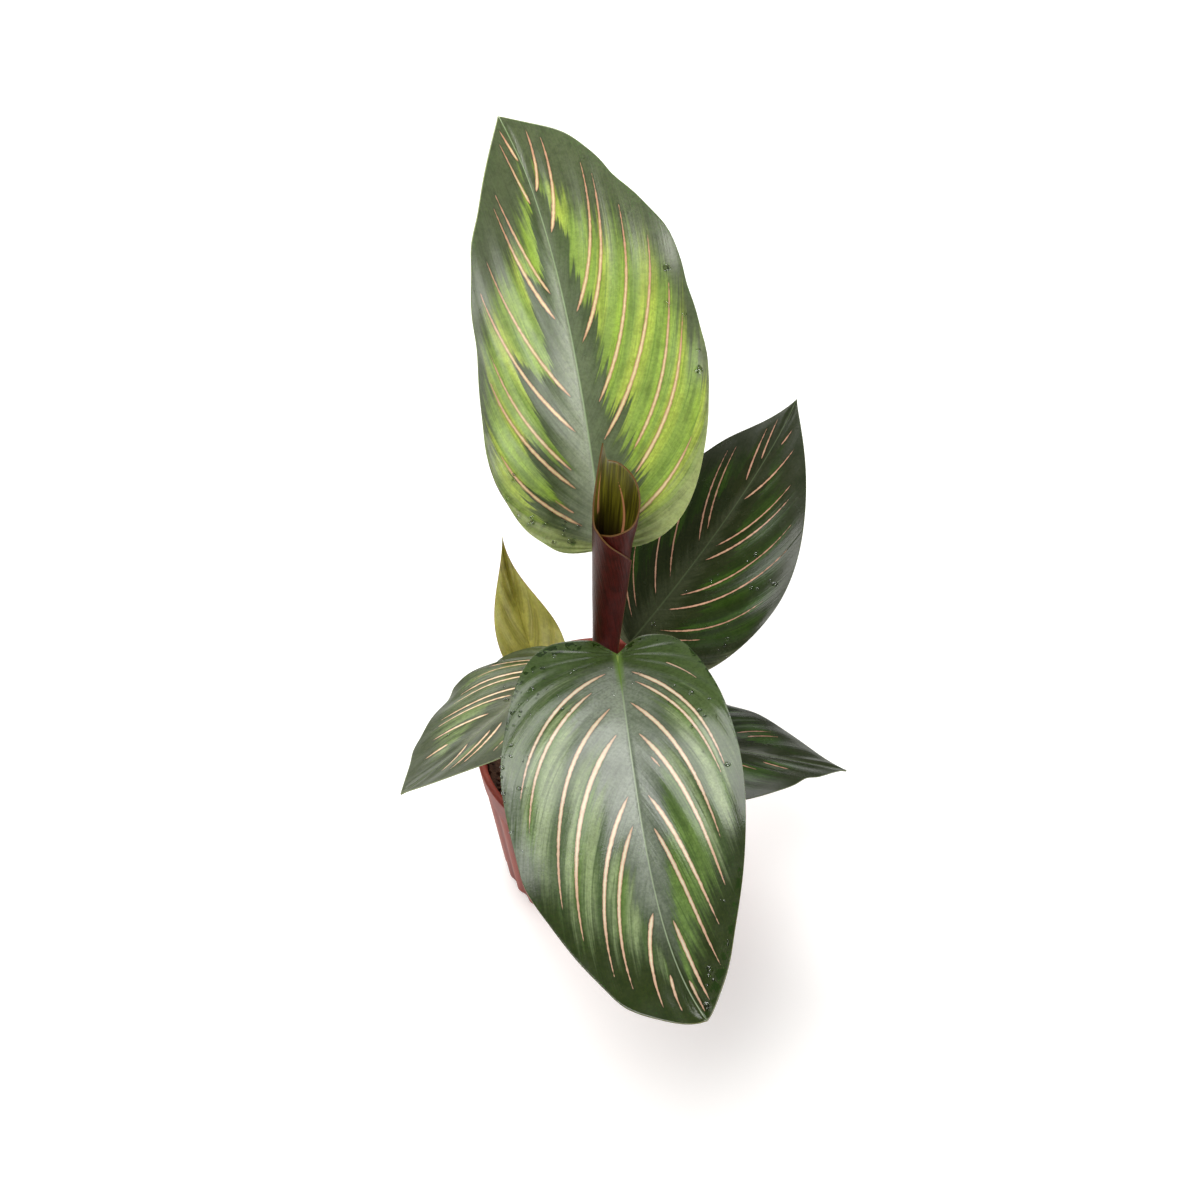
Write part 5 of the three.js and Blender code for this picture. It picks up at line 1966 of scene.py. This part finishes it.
YOUNG_STRIPES = pair(0.6, 0.05, 0.0, 0.1, 0.7) + pair(0.75, 0.04, 0.0, 0.1, 0.75)
YOUNG_MARKS = Markings(YOUNG_STRIPES, YOUNG_STRIPES, inner=0.12, outer=0.72)

FRONT_PATCHES = (
    Patch(Hand.RIGHT, 0.42, 0.6, 0.1, 0.22, 46),
    Patch(Hand.LEFT, 0.5, 0.3, 0.12, 0.2, 16),
    Patch(Hand.LEFT, 0.8, 0.9, 0.08, 0.05, 12),
)
BACK_PATCHES = (
    Patch(Hand.LEFT, 0.37, 0.42, 0.08, 0.18, 20),
    Patch(Hand.RIGHT, 0.5, 0.8, 0.06, 0.06, 8),
)
RIGHT_PATCHES = (Patch(Hand.RIGHT, 0.6, 0.6, 0.15, 0.25, 22),)
LEFT_PATCHES = (
    Patch(Hand.RIGHT, 0.6, 0.3, 0.15, 0.2, 10),
    Patch(Hand.LEFT, 0.7, 0.3, 0.1, 0.2, 10),
)

GREEN_STALK = StalkFinish("green_stalk", rgb(104, 92, 56), rgb(104, 122, 58), rgb(128, 152, 70))
MAROON_STALK = StalkFinish("maroon_stalk", rgb(84, 52, 44), rgb(88, 76, 48), rgb(104, 116, 62))


def main() -> None:
    """Set up the studio, then build the plant piece by piece."""
    logging.basicConfig(level=logging.INFO, format="%(message)s")
    Studio().build()
    pot = Pot()
    pot.build()
    PottingMix(pot).build()
    back = LeafBlade(BACK, BACK_MARKS, LIME_FINISH, Slot.LIME)
    front = LeafBlade(FRONT, FRONT_MARKS, GREEN_FINISH, Slot.GREEN, pleat=0.22 * MM, groove=0.12 * MM)
    right = LeafBlade(RIGHT, RIGHT_MARKS, DARK_FINISH, Slot.DARK, rows=80, pleat=0.15 * MM, groove=0.08 * MM)
    left = LeafBlade(LEFT, LEFT_MARKS, LEFT_FINISH, Slot.DARK, rows=70, pleat=0.2 * MM, groove=0.15 * MM)
    low = LeafBlade(LOW, LOW_MARKS, DARK_FINISH, Slot.DARK, rows=70, pleat=0.15 * MM)
    young = LeafBlade(YOUNG, YOUNG_MARKS, YOUNG_FINISH, Slot.YOUNG, rows=60, pleat=0.2 * MM)
    for blade in (back, front, right, left, low, young):
        blade.build()
    for form, foot, foot_radius, neck_radius, lean, finish, slot in (
        (BACK, (-0.5, 19), 2.4, 1.5, 0.7, GREEN_STALK, Slot.STALK_GREEN),
        (RIGHT, (10, 13), 2.2, 1.4, 0.35, MAROON_STALK, Slot.STALK_MAROON),
        (FRONT, (4, -1.5), 2.4, 1.5, 0.1, GREEN_STALK, Slot.STALK_GREEN),
        (LEFT, (-5.5, 3), 2.1, 1.3, 0.3, MAROON_STALK, Slot.STALK_MAROON),
        (LOW, (10.5, -4), 2.0, 1.3, 0.35, MAROON_STALK, Slot.STALK_MAROON),
        (YOUNG, (-9, 11), 1.9, 1.1, 0.8, GREEN_STALK, Slot.STALK_GREEN),
    ):
        place = (foot[0] * MM, foot[1] * MM)
        Stalk(form, place, foot_radius * MM, neck_radius * MM, lean, finish, slot).build()
    RolledLeaf().build()
    water = paint_water()
    for drops in (
        Drops(front, FRONT_PATCHES),
        Drops(back, BACK_PATCHES, smallest=0.7 * MM, largest=1.25 * MM, rarity=1.2, seed=5),
        Drops(right, RIGHT_PATCHES, seed=7),
        Drops(left, LEFT_PATCHES, seed=8),
    ):
        drops.build(water)


if __name__ == "__main__":
    main()
